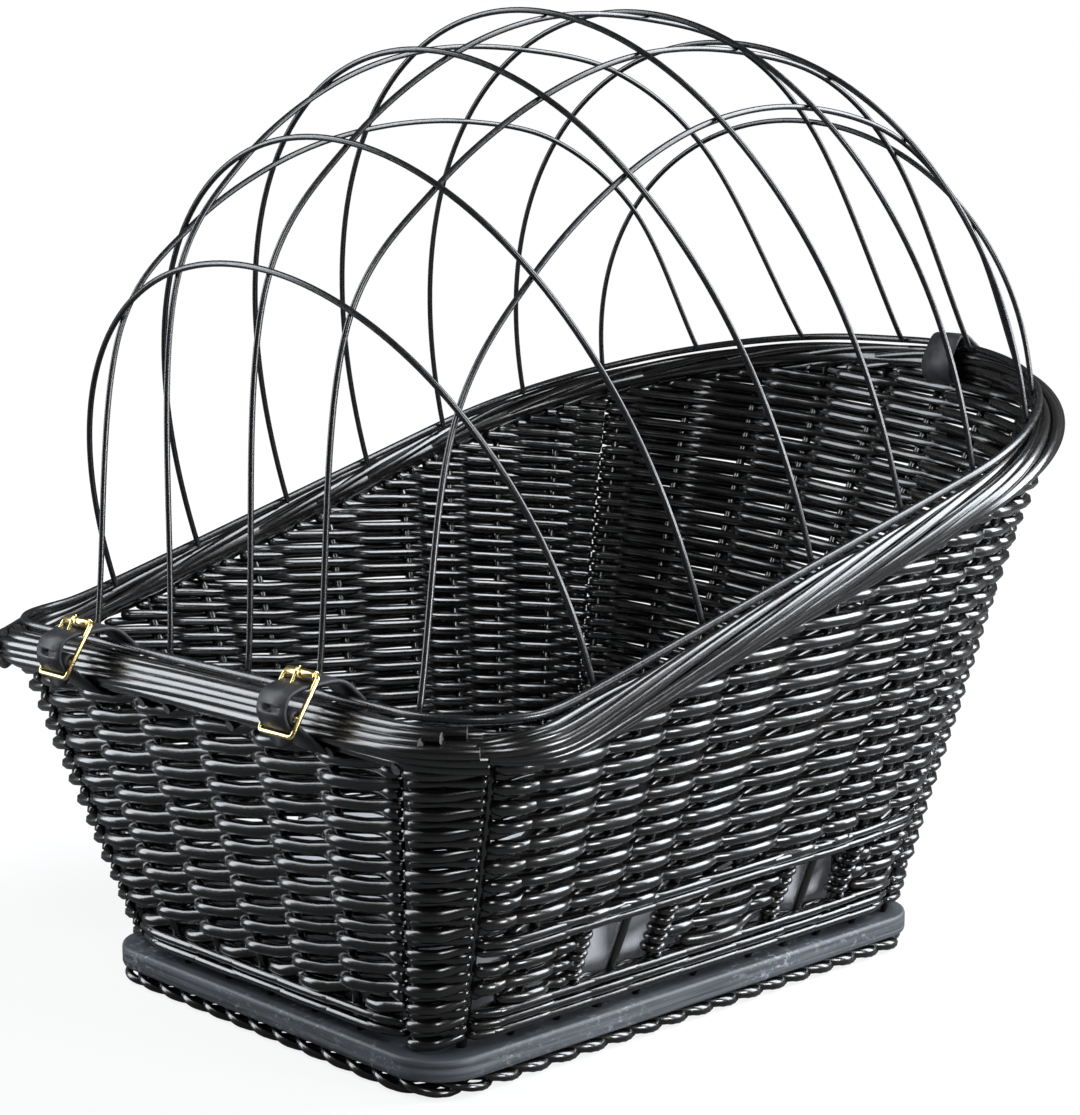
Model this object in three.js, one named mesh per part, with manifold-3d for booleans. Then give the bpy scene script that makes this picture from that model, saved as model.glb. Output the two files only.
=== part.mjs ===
// Woven dog basket for a bicycle carrier, with a domed wire cage that opens at the high end.
// Millimetres, Z up. X runs from the low square end to the high round end, Y across.
import * as THREE from 'three';
import { mergeVertices } from 'three/addons/utils/BufferGeometryUtils.js';
import Module from 'manifold-3d';

const wasm = await Module();
wasm.setup();

// Driving dimensions
const clearance = 0.3;
const overrun = 5;

const boardLength = 360;
const boardWidth = 266;
const boardThickness = 11;
const boardCornerRadius = 28;

const footHeight = 9;
const footWidth = 15;
const footInset = 12;
const footBaseShare = 0.62;
const footTopShare = 0.7;
const footBulgeShare = 0.34;

const wallInset = 10.5;
const wallCornerRadius = 19;
const wallThickness = 8.4;
const waleThickness = 10.4;
const waleHeight = 9;

const rimLength = 509;
const rimOverhang = 25;
const rimLowHalfWidth = 188;
const rimHighHalfWidth = 203;
const rimLowRadius = 44;
const rimHighRadius = 182;
const rimLowHeight = 169;
const rimSlope = 0.2853;
const rimBend = 20;
const rimBendEase = 14;

const rimWireDiameter = 4;
const cageWireDiameter = 3;
const wireFootTip = 1.6;

const borderWidth = 24;
const borderHeight = 20;
const borderOffset = 3;

const windowWidth = 47;
const windowHeight = 29;
const windowSill = 23.5;
const windowCornerRadius = 4;
const lowWindowPlace = 114;
const highWindowPlace = 251;
const windowStakeDiameter = 5;
const windowStakeGrip = 12;
const lowWindowStakeLean = 1;
const highWindowStakeLean = 6;

const cornerStakeDiameter = 6;

const strapWidth = 20;
const strapThickness = 2.4;
const farStrapPlace = 83.5;
const nearStrapPlace = 93.5;
const strapHoleDiameter = 3.4;
const strapHoleDrop = 1;
const strapTailLength = 19;

const barDiameter = 2.5;
const rollerDiameter = 5;
const rollerRise = 12;
const rollerReach = 15;
const heelBarDrop = 5;
const heelBarReach = 26;
const keeperBarDrop = 12.5;
const keeperBarReach = 30;
const strapSlack = 8;
const prongDiameter = 1.8;
const runningGap = 0.15;

const hingeLoopWidth = 24;
const hingeLoopCentre = -50;
const hingeSlack = 1.6;

const cushionHeight = 50;
const cushionCrown = 7;
const cushionGap = 2;
const cushionDrawIn = 4;
const cushionCornerRadius = 34;
const cushionSquareness = 5;

// Cage wires: a foot place as a share of the rim's length, then shares of the rise, the lean
// towards the low end and the lead of the far foot over the near one
const archRise = 250;
const archLean = 100;
const archSkew = 20;
const crossWireShares = [
  { foot: 0.145, rise: 0.716, lean: 0.57, skew: 0.15 },
  { foot: 0.267, rise: 0.88, lean: 0.73, skew: -0.4 },
  { foot: 0.403, rise: 0.972, lean: 0.79, skew: -0.8 },
  { foot: 0.527, rise: 0.988, lean: 0.75, skew: -0.95 },
  { foot: 0.643, rise: 0.932, lean: 0.57, skew: -0.65 },
  { foot: 0.771, rise: 0.808, lean: 0.45, skew: -1.05 },
  { foot: 0.856, rise: 0.596, lean: 0.21, skew: -0.55 },
];
const archRoundness = 2.09;

// Long wires: shares of the spread across at the low and the high end, and of the bow between
const longWireSpread = 100;
const longWireBow = 20;
const longWireShares = [
  { low: 0.96, high: 1.23, bow: 0.6 },
  { low: 0.33, high: 0.6, bow: 0.9 },
  { low: -0.29, high: -0.14, bow: -0.3 },
  { low: -0.81, high: -0.72, bow: -0.4 },
  { low: -1.5, high: -1.3, bow: 0.7 },
];

// Facet counts
const wireSides = 6;
const archSteps = 28;
const longSteps = 36;
const ringSteps = 72;
const borderSides = 10;
const borderSteps = 64;
const wallColumns = { near: 12, end: 10, corner: 5, high: 18 };
const cushionSides = 48;
const arcSegments = 7;
const stakeSides = 8;
const looseSteps = 56;
const smallStep = 0.01;
const smallSides = 6;
const loopSides = 24;
const halvings = 40;

// Heights and places that follow
const boardBottom = footHeight + clearance;
const boardTop = boardBottom + boardThickness;
const rimLow = -rimOverhang;
const rimHigh = rimLow + rimLength;
const halfBoardWidth = boardWidth / 2;
const rimWireRadius = rimWireDiameter / 2;
const cageWireRadius = cageWireDiameter / 2;
const borderDrop = rimWireRadius + clearance + borderHeight / 2;
const windowHead = windowSill + windowHeight;
const windowCentres = [lowWindowPlace, highWindowPlace];
const windowStakeLeans = [lowWindowStakeLean, highWindowStakeLean];
const strapCentres = [farStrapPlace, -nearStrapPlace];

// Finishes
const willow = { color: 0x1d1a1a, roughness: 0.32, metalness: 0 };
const blackWire = { color: 0x141414, roughness: 0.35, metalness: 0.2 };
const blackLeather = { color: 0x1c1c1e, roughness: 0.6, metalness: 0 };
const brass = { color: 0xd0a850, roughness: 0.25, metalness: 1 };
const stainedPly = { color: 0x3a3e44, roughness: 0.65, metalness: 0 };
const greyCloth = { color: 0xb4b7bd, roughness: 0.95, metalness: 0 };

const basket = new THREE.Group();

function addPart(name, geometry, finish) {
  const mesh = new THREE.Mesh(geometry, new THREE.MeshStandardMaterial(finish));
  mesh.name = name;
  basket.add(mesh);
  return mesh;
}

// Solids and booleans

function toSolid(geometry) {
  const bare = geometry.clone();
  bare.deleteAttribute('normal');
  bare.deleteAttribute('uv');
  const merged = mergeVertices(bare, 1e-4);
  const vertProperties = new Float32Array(merged.attributes.position.array);
  const triVerts = new Uint32Array(merged.index.array);
  return new wasm.Manifold(new wasm.Mesh({ numProp: 3, vertProperties, triVerts }));
}

function toGeometry(solid) {
  const mesh = solid.getMesh();
  const geometry = new THREE.BufferGeometry();
  geometry.setAttribute('position', new THREE.BufferAttribute(mesh.vertProperties, 3));
  geometry.setIndex(new THREE.BufferAttribute(mesh.triVerts, 1));
  geometry.computeVertexNormals();
  return geometry;
}

function joined(geometries) {
  return toGeometry(geometries.map(toSolid).reduce((whole, piece) => whole.add(piece)));
}

function cut(geometry, cutters) {
  return toGeometry(cutters.map(toSolid).reduce((whole, tool) => whole.subtract(tool), toSolid(geometry)));
}

// A round rod between two points
function rod(start, end, radius, sides = stakeSides) {
  const axis = new THREE.Vector3().subVectors(end, start);
  const geometry = new THREE.CylinderGeometry(radius, radius, axis.length(), sides);
  const turn = new THREE.Quaternion().setFromUnitVectors(new THREE.Vector3(0, 1, 0), axis.normalize());
  geometry.applyQuaternion(turn);
  const middle = new THREE.Vector3().addVectors(start, end).multiplyScalar(0.5);
  return geometry.translate(middle.x, middle.y, middle.z);
}

// A regular polygon of the given radii, as a closed section
function ovalSection(radiusAcross, radiusUp, sides) {
  const points = [];
  for (let i = 0; i < sides; i += 1) {
    const angle = (2 * Math.PI * (i + 0.5)) / sides;
    points.push(new THREE.Vector2(radiusAcross * Math.cos(angle), radiusUp * Math.sin(angle)));
  }
  return points;
}

// A wire of round section along an open curve
function wireAlong(curve, radius, steps) {
  const section = new THREE.Shape(ovalSection(radius, radius, wireSides));
  return new THREE.ExtrudeGeometry(section, { extrudePath: curve, steps, curveSegments: 1 });
}

// Joins rings of points into one closed skin; an open loft is capped at both ends. The rings
// run anticlockwise as seen by someone who looks along the loft
function loft(rings, flat, closed) {
  const count = rings[0].length;
  const positions = rings.flat().flatMap((point) => point.toArray());
  const index = [];
  const last = closed ? rings.length : rings.length - 1;
  for (let i = 0; i < last; i += 1) {
    const here = i * count;
    const next = ((i + 1) % rings.length) * count;
    for (let j = 0; j < count; j += 1) {
      const k = (j + 1) % count;
      index.push(here + j, next + k, here + k);
      index.push(here + j, next + j, next + k);
    }
  }
  if (!closed) {
    const end = (rings.length - 1) * count;
    for (const [a, b, c] of THREE.ShapeUtils.triangulateShape(flat, [])) {
      index.push(a, b, c);
      index.push(end + a, end + c, end + b);
    }
  }
  const geometry = new THREE.BufferGeometry();
  geometry.setAttribute('position', new THREE.Float32BufferAttribute(positions, 3));
  geometry.setIndex(index);
  geometry.computeVertexNormals();
  return geometry;
}

// Plan outlines

// A four-cornered loop with rounded corners that starts in the middle of its low end and
// runs past the near side first
function plan({ low, high, lowHalf, highHalf, lowRadius, highRadius }) {
  const corners = [
    { at: new THREE.Vector2(low, -lowHalf), radius: lowRadius },
    { at: new THREE.Vector2(high, -highHalf), radius: highRadius },
    { at: new THREE.Vector2(high, highHalf), radius: highRadius },
    { at: new THREE.Vector2(low, lowHalf), radius: lowRadius },
  ];
  const path = new THREE.Path();
  path.moveTo(low, 0);
  corners.forEach(({ at, radius }, i) => {
    const before = corners[(i + 3) % 4].at.clone().sub(at).normalize();
    const after = corners[(i + 1) % 4].at.clone().sub(at).normalize();
    const half = Math.acos(before.dot(after)) / 2;
    const start = at.clone().addScaledVector(before, radius / Math.tan(half));
    const bisector = before.clone().add(after).normalize();
    const centre = at.clone().addScaledVector(bisector, radius / Math.sin(half));
    const from = start.clone().sub(centre).angle();
    const to = from + Math.PI - 2 * half;
    if (i === 0) path.lineTo(start.x, start.y);
    path.absarc(centre.x, centre.y, radius, from, to, false);
  });
  path.lineTo(low, 0);
  return path;
}

function outwardAt(path, share) {
  const tangent = path.getTangentAt(THREE.MathUtils.euclideanModulo(share, 1));
  return new THREE.Vector3(tangent.y, -tangent.x, 0);
}

function planPoint(path, share, height, outward = 0) {
  const point = path.getPointAt(THREE.MathUtils.euclideanModulo(share, 1));
  return new THREE.Vector3(point.x, point.y, height).addScaledVector(outwardAt(path, share), outward);
}

const boardPlan = {
  low: 0,
  high: boardLength,
  lowHalf: halfBoardWidth,
  highHalf: halfBoardWidth,
  lowRadius: boardCornerRadius,
  highRadius: boardCornerRadius,
};

function insetBoard(inset, radius) {
  return plan({
    low: inset,
    high: boardLength - inset,
    lowHalf: halfBoardWidth - inset,
    highHalf: halfBoardWidth - inset,
    lowRadius: radius,
    highRadius: radius,
  });
}

const wallFoot = insetBoard(wallInset, wallCornerRadius);
const rimPlan = plan({
  low: rimLow,
  high: rimHigh,
  lowHalf: rimLowHalfWidth,
  highHalf: rimHighHalfWidth,
  lowRadius: rimLowRadius,
  highRadius: rimHighRadius,
});

// The rim is level at the low end and then climbs in a straight line
function rimHeight(x) {
  const along = x - rimBend;
  return boardTop + rimLowHeight + (rimSlope * (along + Math.hypot(along, rimBendEase))) / 2;
}

function rimPoint(share, outward, down) {
  const point = planPoint(rimPlan, share, 0, outward);
  const wire = rimPlan.getPointAt(THREE.MathUtils.euclideanModulo(share, 1));
  point.z = rimHeight(wire.x) - down;
  return point;
}

// The share between two others from which a test holds
function shareFrom(low, high, holds) {
  let [start, end] = [low, high];
  for (let i = 0; i < halvings; i += 1) {
    const middle = (start + end) / 2;
    if (holds(middle)) end = middle;
    else start = middle;
  }
  return (start + end) / 2;
}

// Shares of the loops between which their near side and their near corners lie
const cornerStartShare = 0.06;
const lowCornerShare = 0.2;
const highCornerStartShare = 0.3;
const highMiddleShare = 0.499;

// The share of the rim loop at a place across the low end or the high end
function shareAcross(y, atHighEnd) {
  const reach = Math.abs(y);
  const near = atHighEnd
    ? shareFrom(highCornerStartShare, highMiddleShare, (share) => rimPlan.getPointAt(share).y > -reach)
    : shareFrom(0, lowCornerShare, (share) => rimPlan.getPointAt(share).y < -reach);
  return y < 0 ? near : 1 - near;
}

// The share of the rim loop at a place along the near side
function rimShareAt(x) {
  return shareFrom(cornerStartShare, highMiddleShare, (share) => rimPlan.getPointAt(share).x > x);
}

const footOffset = -(rimWireRadius + cageWireRadius + clearance);

// Woven walls: ruled between the board and the rim border, with bands of thicker waling

function wallPoint(share, height, outward) {
  const foot = planPoint(wallFoot, share, boardTop, outward);
  const head = rimPoint(share, borderOffset + outward, borderDrop);
  return foot.lerp(head, (height - boardTop) / (head.z - boardTop));
}

// The wall ends just under the border, which climbs along the wall's own lean
function wallTop(share) {
  const foot = planPoint(wallFoot, share, boardTop);
  const head = rimPoint(share, borderOffset, borderDrop);
  const lean = (head.x - foot.x) / (head.z - foot.z);
  return head.z - (borderHeight / 2 + clearance) / (1 - rimSlope * Math.max(lean, 0));
}

// Half-thickness of the wall at each height above the board; the last height is the wall's top
const wallBands = [
  [clearance, waleThickness / 2],
  [windowSill, waleThickness / 2],
  [windowSill, wallThickness / 2],
  [windowHead, wallThickness / 2],
  [windowHead, waleThickness / 2],
  [windowHead + waleHeight, waleThickness / 2],
  [windowHead + waleHeight, wallThickness / 2],
  [rimLowHeight, wallThickness / 2],
];

function wovenWall(from, to, columns) {
  const outline = [
    ...wallBands.map(([height, half]) => new THREE.Vector2(half, height)),
    ...[...wallBands].reverse().map(([height, half]) => new THREE.Vector2(-half, height)),
  ];
  const topLevel = rimLowHeight;
  const rings = [];
  for (let i = 0; i <= columns; i += 1) {
    const share = from + ((to - from) * i) / columns;
    const ring = outline.map((point) => {
      const height = point.y === topLevel ? wallTop(share) : boardTop + point.y;
      return wallPoint(share, height, point.x);
    });
    rings.push(ring);
  }
  return loft(rings, outline, false);
}

// A stake stands in the board, short of its underside
function stake(foot, head, radius) {
  const down = foot.clone().sub(head).normalize();
  const tilt = Math.hypot(down.x, down.y) / Math.abs(down.z);
  const sink = boardThickness - clearance - radius * tilt;
  const end = foot.clone().addScaledVector(down, sink / Math.abs(down.z));
  return rod(end, head, radius);
}

// The hole that a stake stands in, right through the board
function stakeHole(foot, head, stakeRadius) {
  const up = head.clone().sub(foot).normalize();
  const end = foot.clone().addScaledVector(up, -boardThickness - overrun);
  return rod(end, head.clone().addScaledVector(up, clearance), stakeRadius + clearance);
}

// The share of the near wall at a place along it and a height
function wallShareAt(x, height) {
  return shareFrom(cornerStartShare, highMiddleShare, (share) => wallPoint(share, height, 0).x > x);
}

const halfLowEnd = halfBoardWidth - wallInset - wallCornerRadius;
const cornerArc = (Math.PI / 2) * wallCornerRadius;
const wallLength = wallFoot.getLength();
const cornerShares = [halfLowEnd / wallLength, (halfLowEnd + cornerArc) / wallLength];
const highCornerShare = cornerShares[1] + (boardLength - 2 * (wallInset + wallCornerRadius)) / wallLength;
const stakeMargin = (cornerStakeDiameter / 2 + clearance) / wallLength;
const seam = clearance / wallLength / 2;

const stakeNames = ['low', 'high'];

// Straps, in the plane across the low rim: reach is measured outwards from the rim wire
const strapRadius = strapThickness / 2;
const nearHalf = borderWidth / 2 + clearance + strapRadius;
const upHalf = borderHeight / 2 + clearance + strapRadius;
const barRadius = barDiameter / 2;
const foldRadius = barRadius + clearance + strapRadius;
const underRoller = rollerRise - rollerDiameter / 2 - clearance - strapRadius;
const tailReach = heelBarReach + foldRadius + strapThickness + 2 * clearance;
const tipReach = keeperBarReach - barRadius - clearance - strapRadius;

function arcPoints(centre, radiusAcross, radiusUp, from, to, count) {
  const points = [];
  for (let i = 0; i <= count; i += 1) {
    const angle = THREE.MathUtils.degToRad(from + ((to - from) * i) / count);
    const across = centre.x + radiusAcross * Math.cos(angle);
    points.push(new THREE.Vector2(across, centre.y + radiusUp * Math.sin(angle)));
  }
  return points;
}

const borderCentre = new THREE.Vector2(borderOffset, -borderDrop);
const heelBar = new THREE.Vector2(heelBarReach, -heelBarDrop);
const keeperBar = new THREE.Vector2(keeperBarReach, -keeperBarDrop);
const rollerCentre = new THREE.Vector2(rollerReach, rollerRise);

// The strap's middle line: folded round the heel bar, under the border, loosely up inside the
// basket and over the wire, under the roller, out over the heel bar and in behind the keeper
function strapLine() {
  const fold = arcPoints(heelBar, foldRadius, foldRadius, 165, -75, 9);
  const under = arcPoints(borderCentre, nearHalf, upHalf, -35, -150, 6);
  const loose = new THREE.CatmullRomCurve3([
    fold[fold.length - 1],
    ...under,
    new THREE.Vector2(borderOffset - nearHalf - clearance, -rollerRise),
    new THREE.Vector2(-nearHalf, -heelBarDrop),
    new THREE.Vector2(-strapSlack, rimWireRadius),
    new THREE.Vector2(0, underRoller - clearance),
    new THREE.Vector2(rollerReach, underRoller),
    new THREE.Vector2((rollerReach + tailReach) / 2, underRoller - 2 * clearance),
    new THREE.Vector2(tailReach - strapThickness, heelBarDrop),
    new THREE.Vector2(tailReach + clearance, -strapHoleDrop),
    new THREE.Vector2(tailReach, -heelBarDrop),
    ...arcPoints(keeperBar, foldRadius, foldRadius, 115, 180, 4),
    new THREE.Vector2(tipReach, -strapTailLength),
  ].map((point) => new THREE.Vector3(point.x, point.y, 0)), false, 'centripetal');
  const smooth = loose.getPoints(looseSteps).map((point) => new THREE.Vector2(point.x, point.y));
  return [...fold.slice(0, -1), ...smooth];
}

// A band of even thickness on both sides of a line of points
function ribbon(line, thickness) {
  const sides = [1, -1].map((side) => line.map((point, i) => {
    const before = line[Math.max(i - 1, 0)];
    const after = line[Math.min(i + 1, line.length - 1)];
    const along = after.clone().sub(before).normalize();
    const across = new THREE.Vector2(-along.y, along.x);
    return point.clone().addScaledVector(across, (side * thickness) / 2);
  }));
  return new THREE.Shape([...sides[0], ...sides[1].reverse()]);
}

// Sets a flat outline upright across the rim, with its first axis pointing outwards
function acrossRim(shape, width, share) {
  const options = { depth: width, bevelEnabled: false, curveSegments: arcSegments };
  const geometry = new THREE.ExtrudeGeometry(shape, options).translate(0, 0, -width / 2);
  const outward = outwardAt(rimPlan, share);
  geometry.rotateX(Math.PI / 2);
  geometry.rotateZ(Math.atan2(outward.y, outward.x));
  const place = rimPoint(share, 0, 0);
  return geometry.translate(place.x, place.y, place.z);
}

// A point in the strap's plane, as a place on the basket
function atLowRim(point, y) {
  return new THREE.Vector3(rimLow - point.x, y, rimHeight(rimLow) + point.y);
}

const halfFrame = strapWidth / 2 + clearance + barRadius;
const prongRadius = prongDiameter / 2;
const eyeRadius = barRadius + runningGap;
const prongTip = new THREE.Vector2(
  rollerReach + rollerDiameter / 2 + prongRadius + clearance,
  rollerRise + prongDiameter,
);
const prongEyeEdge = heelBar.clone().add(new THREE.Vector2(0, eyeRadius + prongRadius));

function buckleFrame(y) {
  const corner = (point, side) => atLowRim(point, y + side * halfFrame);
  const ends = [
    [corner(rollerCentre, -1), corner(rollerCentre, 1)],
    [corner(heelBar, -1), corner(heelBar, 1)],
    [corner(keeperBar, -1), corner(keeperBar, 1)],
    [corner(rollerCentre, -1), corner(heelBar, -1)],
    [corner(rollerCentre, 1), corner(heelBar, 1)],
    [corner(heelBar, -1), corner(keeperBar, -1)],
    [corner(heelBar, 1), corner(keeperBar, 1)],
  ];
  const bars = ends.map(([start, end]) => rod(start, end, barRadius, smallSides));
  const knuckles = [...ends[0], ...ends[1], ...ends[2]].map((point) => {
    const ball = new THREE.SphereGeometry(barRadius, smallSides, smallSides / 2);
    return ball.translate(point.x, point.y, point.z);
  });
  return joined([...bars, ...knuckles]);
}

// A tube about a bar that runs across the basket
function tube(centre, innerRadius, outerRadius, length, y) {
  const half = length / 2;
  const profile = [
    new THREE.Vector2(innerRadius, -half),
    new THREE.Vector2(outerRadius, -half),
    new THREE.Vector2(outerRadius, half),
    new THREE.Vector2(innerRadius, half),
    new THREE.Vector2(innerRadius, -half),
  ];
  const place = atLowRim(centre, y);
  return new THREE.LatheGeometry(profile, 2 * smallSides).translate(place.x, place.y, place.z);
}

function prongShaft(y, radius) {
  return rod(atLowRim(prongEyeEdge, y), atLowRim(prongTip, y), radius, smallSides);
}

function prong(y) {
  const eye = tube(heelBar, eyeRadius, eyeRadius + prongDiameter, prongDiameter, y);
  return joined([eye, prongShaft(y, prongRadius)]);
}

function strap(y) {
  const line = strapLine();
  const band = acrossRim(ribbon(line, strapThickness), strapWidth, shareAcross(y, false));
  const tip = atLowRim(line[line.length - 1], y);
  const tipRadius = strapWidth / 2;
  const corner = new THREE.Shape();
  corner.moveTo(-tipRadius - overrun, -overrun);
  corner.lineTo(tipRadius + overrun, -overrun);
  corner.lineTo(tipRadius + overrun, tipRadius);
  corner.lineTo(tipRadius, tipRadius);
  corner.absarc(0, tipRadius, tipRadius, 0, Math.PI, true);
  corner.lineTo(-tipRadius - overrun, tipRadius);
  const tipDepth = tailReach + strapThickness - tipReach + strapRadius;
  const tipCutter = new THREE.ExtrudeGeometry(corner, {
    depth: tipDepth,
    bevelEnabled: false,
    curveSegments: arcSegments,
  });
  tipCutter.rotateX(Math.PI / 2);
  tipCutter.rotateZ(Math.PI / 2);
  tipCutter.translate(tip.x + strapRadius + clearance - tipDepth, y, tip.z - strapRadius);
  const holeStart = atLowRim(new THREE.Vector2(heelBarReach, -strapHoleDrop), y);
  const holeEnd = atLowRim(new THREE.Vector2(tailReach + overrun, -strapHoleDrop), y);
  const hole = rod(holeStart, holeEnd, strapHoleDiameter / 2, smallSides);
  const slotWidth = prongDiameter + 2 * clearance;
  const slotRadius = foldRadius + strapRadius + clearance;
  const slot = tube(heelBar, 0, slotRadius, slotWidth, y);
  const shaft = prongShaft(y, prongRadius + 2 * clearance);
  return cut(band, [tipCutter, hole, slot, shaft]);
}

// Corner points of the smallest outline that goes round all the given points
function hull(points) {
  const sorted = [...points].sort((a, b) => a.x - b.x || a.y - b.y);
  const turn = (o, a, b) => (a.x - o.x) * (b.y - o.y) - (a.y - o.y) * (b.x - o.x);
  const chain = (list) => {
    const kept = [];
    for (const point of list) {
      while (kept.length > 1 && turn(kept[kept.length - 2], kept[kept.length - 1], point) <= 0) kept.pop();
      kept.push(point);
    }
    return kept.slice(0, -1);
  };
  return [...chain(sorted), ...chain([...sorted].reverse())];
}

// A leather loop drawn tight round the border and, with slack, over the rim wire. Its hole
// allows for the border's bow and climb within the loop's width
const hingeShare = shareAcross(hingeLoopCentre, true);
const facetLength = rimPlan.getLength() / borderSteps;
const hingeBow = (hingeLoopWidth ** 2 + facetLength ** 2) / (8 * rimHighRadius);
const hingeClimb = (rimSlope * hingeLoopWidth * Math.abs(outwardAt(rimPlan, hingeShare).y)) / 2;

function wholeTurn(centre, radiusAcross, radiusUp) {
  const lastAngle = 360 - 360 / loopSides;
  return arcPoints(centre, radiusAcross, radiusUp, 0, lastAngle, loopSides - 1);
}

function hingeLoop() {
  const around = (extra) => {
    const wireRadius = rimWireRadius + hingeSlack + extra;
    const acrossBorder = borderWidth / 2 + hingeBow + extra;
    const upBorder = borderHeight / 2 + hingeBow + hingeClimb + extra;
    return hull([
      ...wholeTurn(borderCentre, acrossBorder, upBorder),
      ...wholeTurn(new THREE.Vector2(), wireRadius, wireRadius),
    ]);
  };
  const outline = new THREE.Shape(around(clearance + strapThickness));
  outline.holes.push(new THREE.Path(around(clearance)));
  return acrossRim(outline, hingeLoopWidth, hingeShare);
}

// Slots in a wall's top edge, where a strap passes under the border
function strapSlot(share, width, slack) {
  const depth = strapThickness + slack + 3 * clearance;
  const slotTop = -borderDrop;
  const slotBottom = slotTop - borderHeight / 2 - depth;
  const outline = new THREE.Shape([
    new THREE.Vector2(-borderWidth, slotBottom),
    new THREE.Vector2(borderWidth + borderOffset, slotBottom),
    new THREE.Vector2(borderWidth + borderOffset, slotTop),
    new THREE.Vector2(-borderWidth, slotTop),
  ]);
  return acrossRim(outline, width + 2 * clearance, share);
}

// Base board, with a hole for every stake that stands in it
function baseBoard(cutters) {
  const outline = new THREE.Shape(plan(boardPlan).getPoints(arcSegments));
  const slab = new THREE.ExtrudeGeometry(outline, { depth: boardThickness, bevelEnabled: false });
  return cut(slab.translate(0, 0, boardBottom), cutters);
}

// Foot border: a plaited ring under the board's edge, flat where it stands
function footBorder() {
  const halfWidth = footWidth / 2;
  const halfBase = halfWidth * footBaseShare;
  const halfTop = halfWidth * footTopShare;
  const bulge = footHeight * footBulgeShare;
  const section = [
    new THREE.Vector2(halfBase, 0),
    new THREE.Vector2(halfWidth, bulge),
    new THREE.Vector2(halfWidth, footHeight - bulge),
    new THREE.Vector2(halfTop, footHeight),
    new THREE.Vector2(-halfTop, footHeight),
    new THREE.Vector2(-halfWidth, footHeight - bulge),
    new THREE.Vector2(-halfWidth, bulge),
    new THREE.Vector2(-halfBase, 0),
  ];
  const path = insetBoard(footInset, boardCornerRadius - footInset + footWidth / 2);
  const rings = [];
  for (let i = 0; i < borderSteps; i += 1) {
    rings.push(section.map((point) => planPoint(path, i / borderSteps, point.y, point.x)));
  }
  return loft(rings, section, true);
}

// A closed ring of even section that follows the rim
function rimRing(section, steps, outward, down) {
  const rings = [];
  for (let i = 0; i < steps; i += 1) {
    rings.push(section.map((point) => rimPoint(i / steps, outward + point.x, down - point.y)));
  }
  return loft(rings, section, true);
}

// Cushion: sides drawn in a little between the corners, rounded edges and a raised crown
function cushion() {
  const flare = (rimOverhang + wallInset) / rimLowHeight;
  const lowInset = wallInset + waleThickness / 2 + cushionGap;
  const halfLength = boardLength / 2 - lowInset;
  const halfWidth = halfBoardWidth - lowInset;
  const levels = [
    { heightShare: 0, insetShare: 0.2 },
    { heightShare: 0.12, insetShare: 0.06 },
    { heightShare: 0.35, insetShare: 0 },
    { heightShare: 0.7, insetShare: 0 },
    { heightShare: 0.9, insetShare: 0.06 },
    { heightShare: 1, insetShare: 0.2 },
  ];
  const edge = (angle, inset) => {
    const power = 2 / cushionSquareness;
    const c = Math.cos(angle);
    const s = Math.sin(angle);
    const x = Math.sign(c) * Math.abs(c) ** power * (halfLength - inset);
    const y = Math.sign(s) * Math.abs(s) ** power * (halfWidth - inset);
    const pull = cushionDrawIn * Math.cos(2 * angle) ** 2;
    return new THREE.Vector2(x - Math.sign(c) * pull * Math.abs(c), y - Math.sign(s) * pull * Math.abs(s));
  };
  const ringAt = (height, inset, shrink) => {
    const ring = [];
    for (let i = 0; i < cushionSides; i += 1) {
      const point = edge((2 * Math.PI * i) / cushionSides, inset).multiplyScalar(shrink);
      ring.push(new THREE.Vector3(point.x, point.y, height));
    }
    return ring;
  };
  const base = boardTop + clearance;
  const rings = levels.map(({ heightShare, insetShare }) => {
    const lift = heightShare * cushionHeight;
    const spread = flare * Math.min(lift, cushionHeight / 2) / 2;
    return ringAt(base + lift, insetShare * cushionCornerRadius - spread, 1);
  });
  const crownShares = [0.82, 0.6, 0.36, 0.12];
  for (const shrink of crownShares) {
    const lift = cushionHeight + cushionCrown * (1 - shrink ** 2);
    rings.push(ringAt(base + lift, levels[0].insetShare * cushionCornerRadius - flare, shrink));
  }
  rings.reverse();
  const flat = rings[0].map((point) => new THREE.Vector2(point.x, point.y));
  return loft(rings, flat, false).translate(boardLength / 2, 0, 0);
}

// Cage

// The line of a cross wire: from its near foot up over the basket to its far foot
function archLine(shares) {
  const skew = shares.skew * archSkew;
  const nearX = rimLow + shares.foot * rimLength - skew / 2;
  const farX = nearX + skew;
  const near = rimPoint(rimShareAt(nearX), footOffset, 0);
  const far = rimPoint(1 - rimShareAt(farX), footOffset, 0);
  return (across) => {
    const raised = (1 - across * across) ** (1 / archRoundness);
    const lean = raised * shares.lean * archLean;
    const rise = raised * shares.rise * archRise;
    const point = near.clone().lerp(far, (across + 1) / 2);
    return point.add(new THREE.Vector3(-lean, 0, rise));
  };
}

const archLines = crossWireShares.map(archLine);

function tipBelow(foot) {
  return foot.clone().sub(new THREE.Vector3(0, 0, wireFootTip));
}

function crossWire(line) {
  const points = [tipBelow(line(-1))];
  for (let i = 0; i <= archSteps; i += 1) points.push(line(-Math.cos((Math.PI * i) / archSteps)));
  points.push(tipBelow(line(1)));
  return wireAlong(new THREE.CatmullRomCurve3(points), cageWireRadius, archSteps);
}

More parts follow.
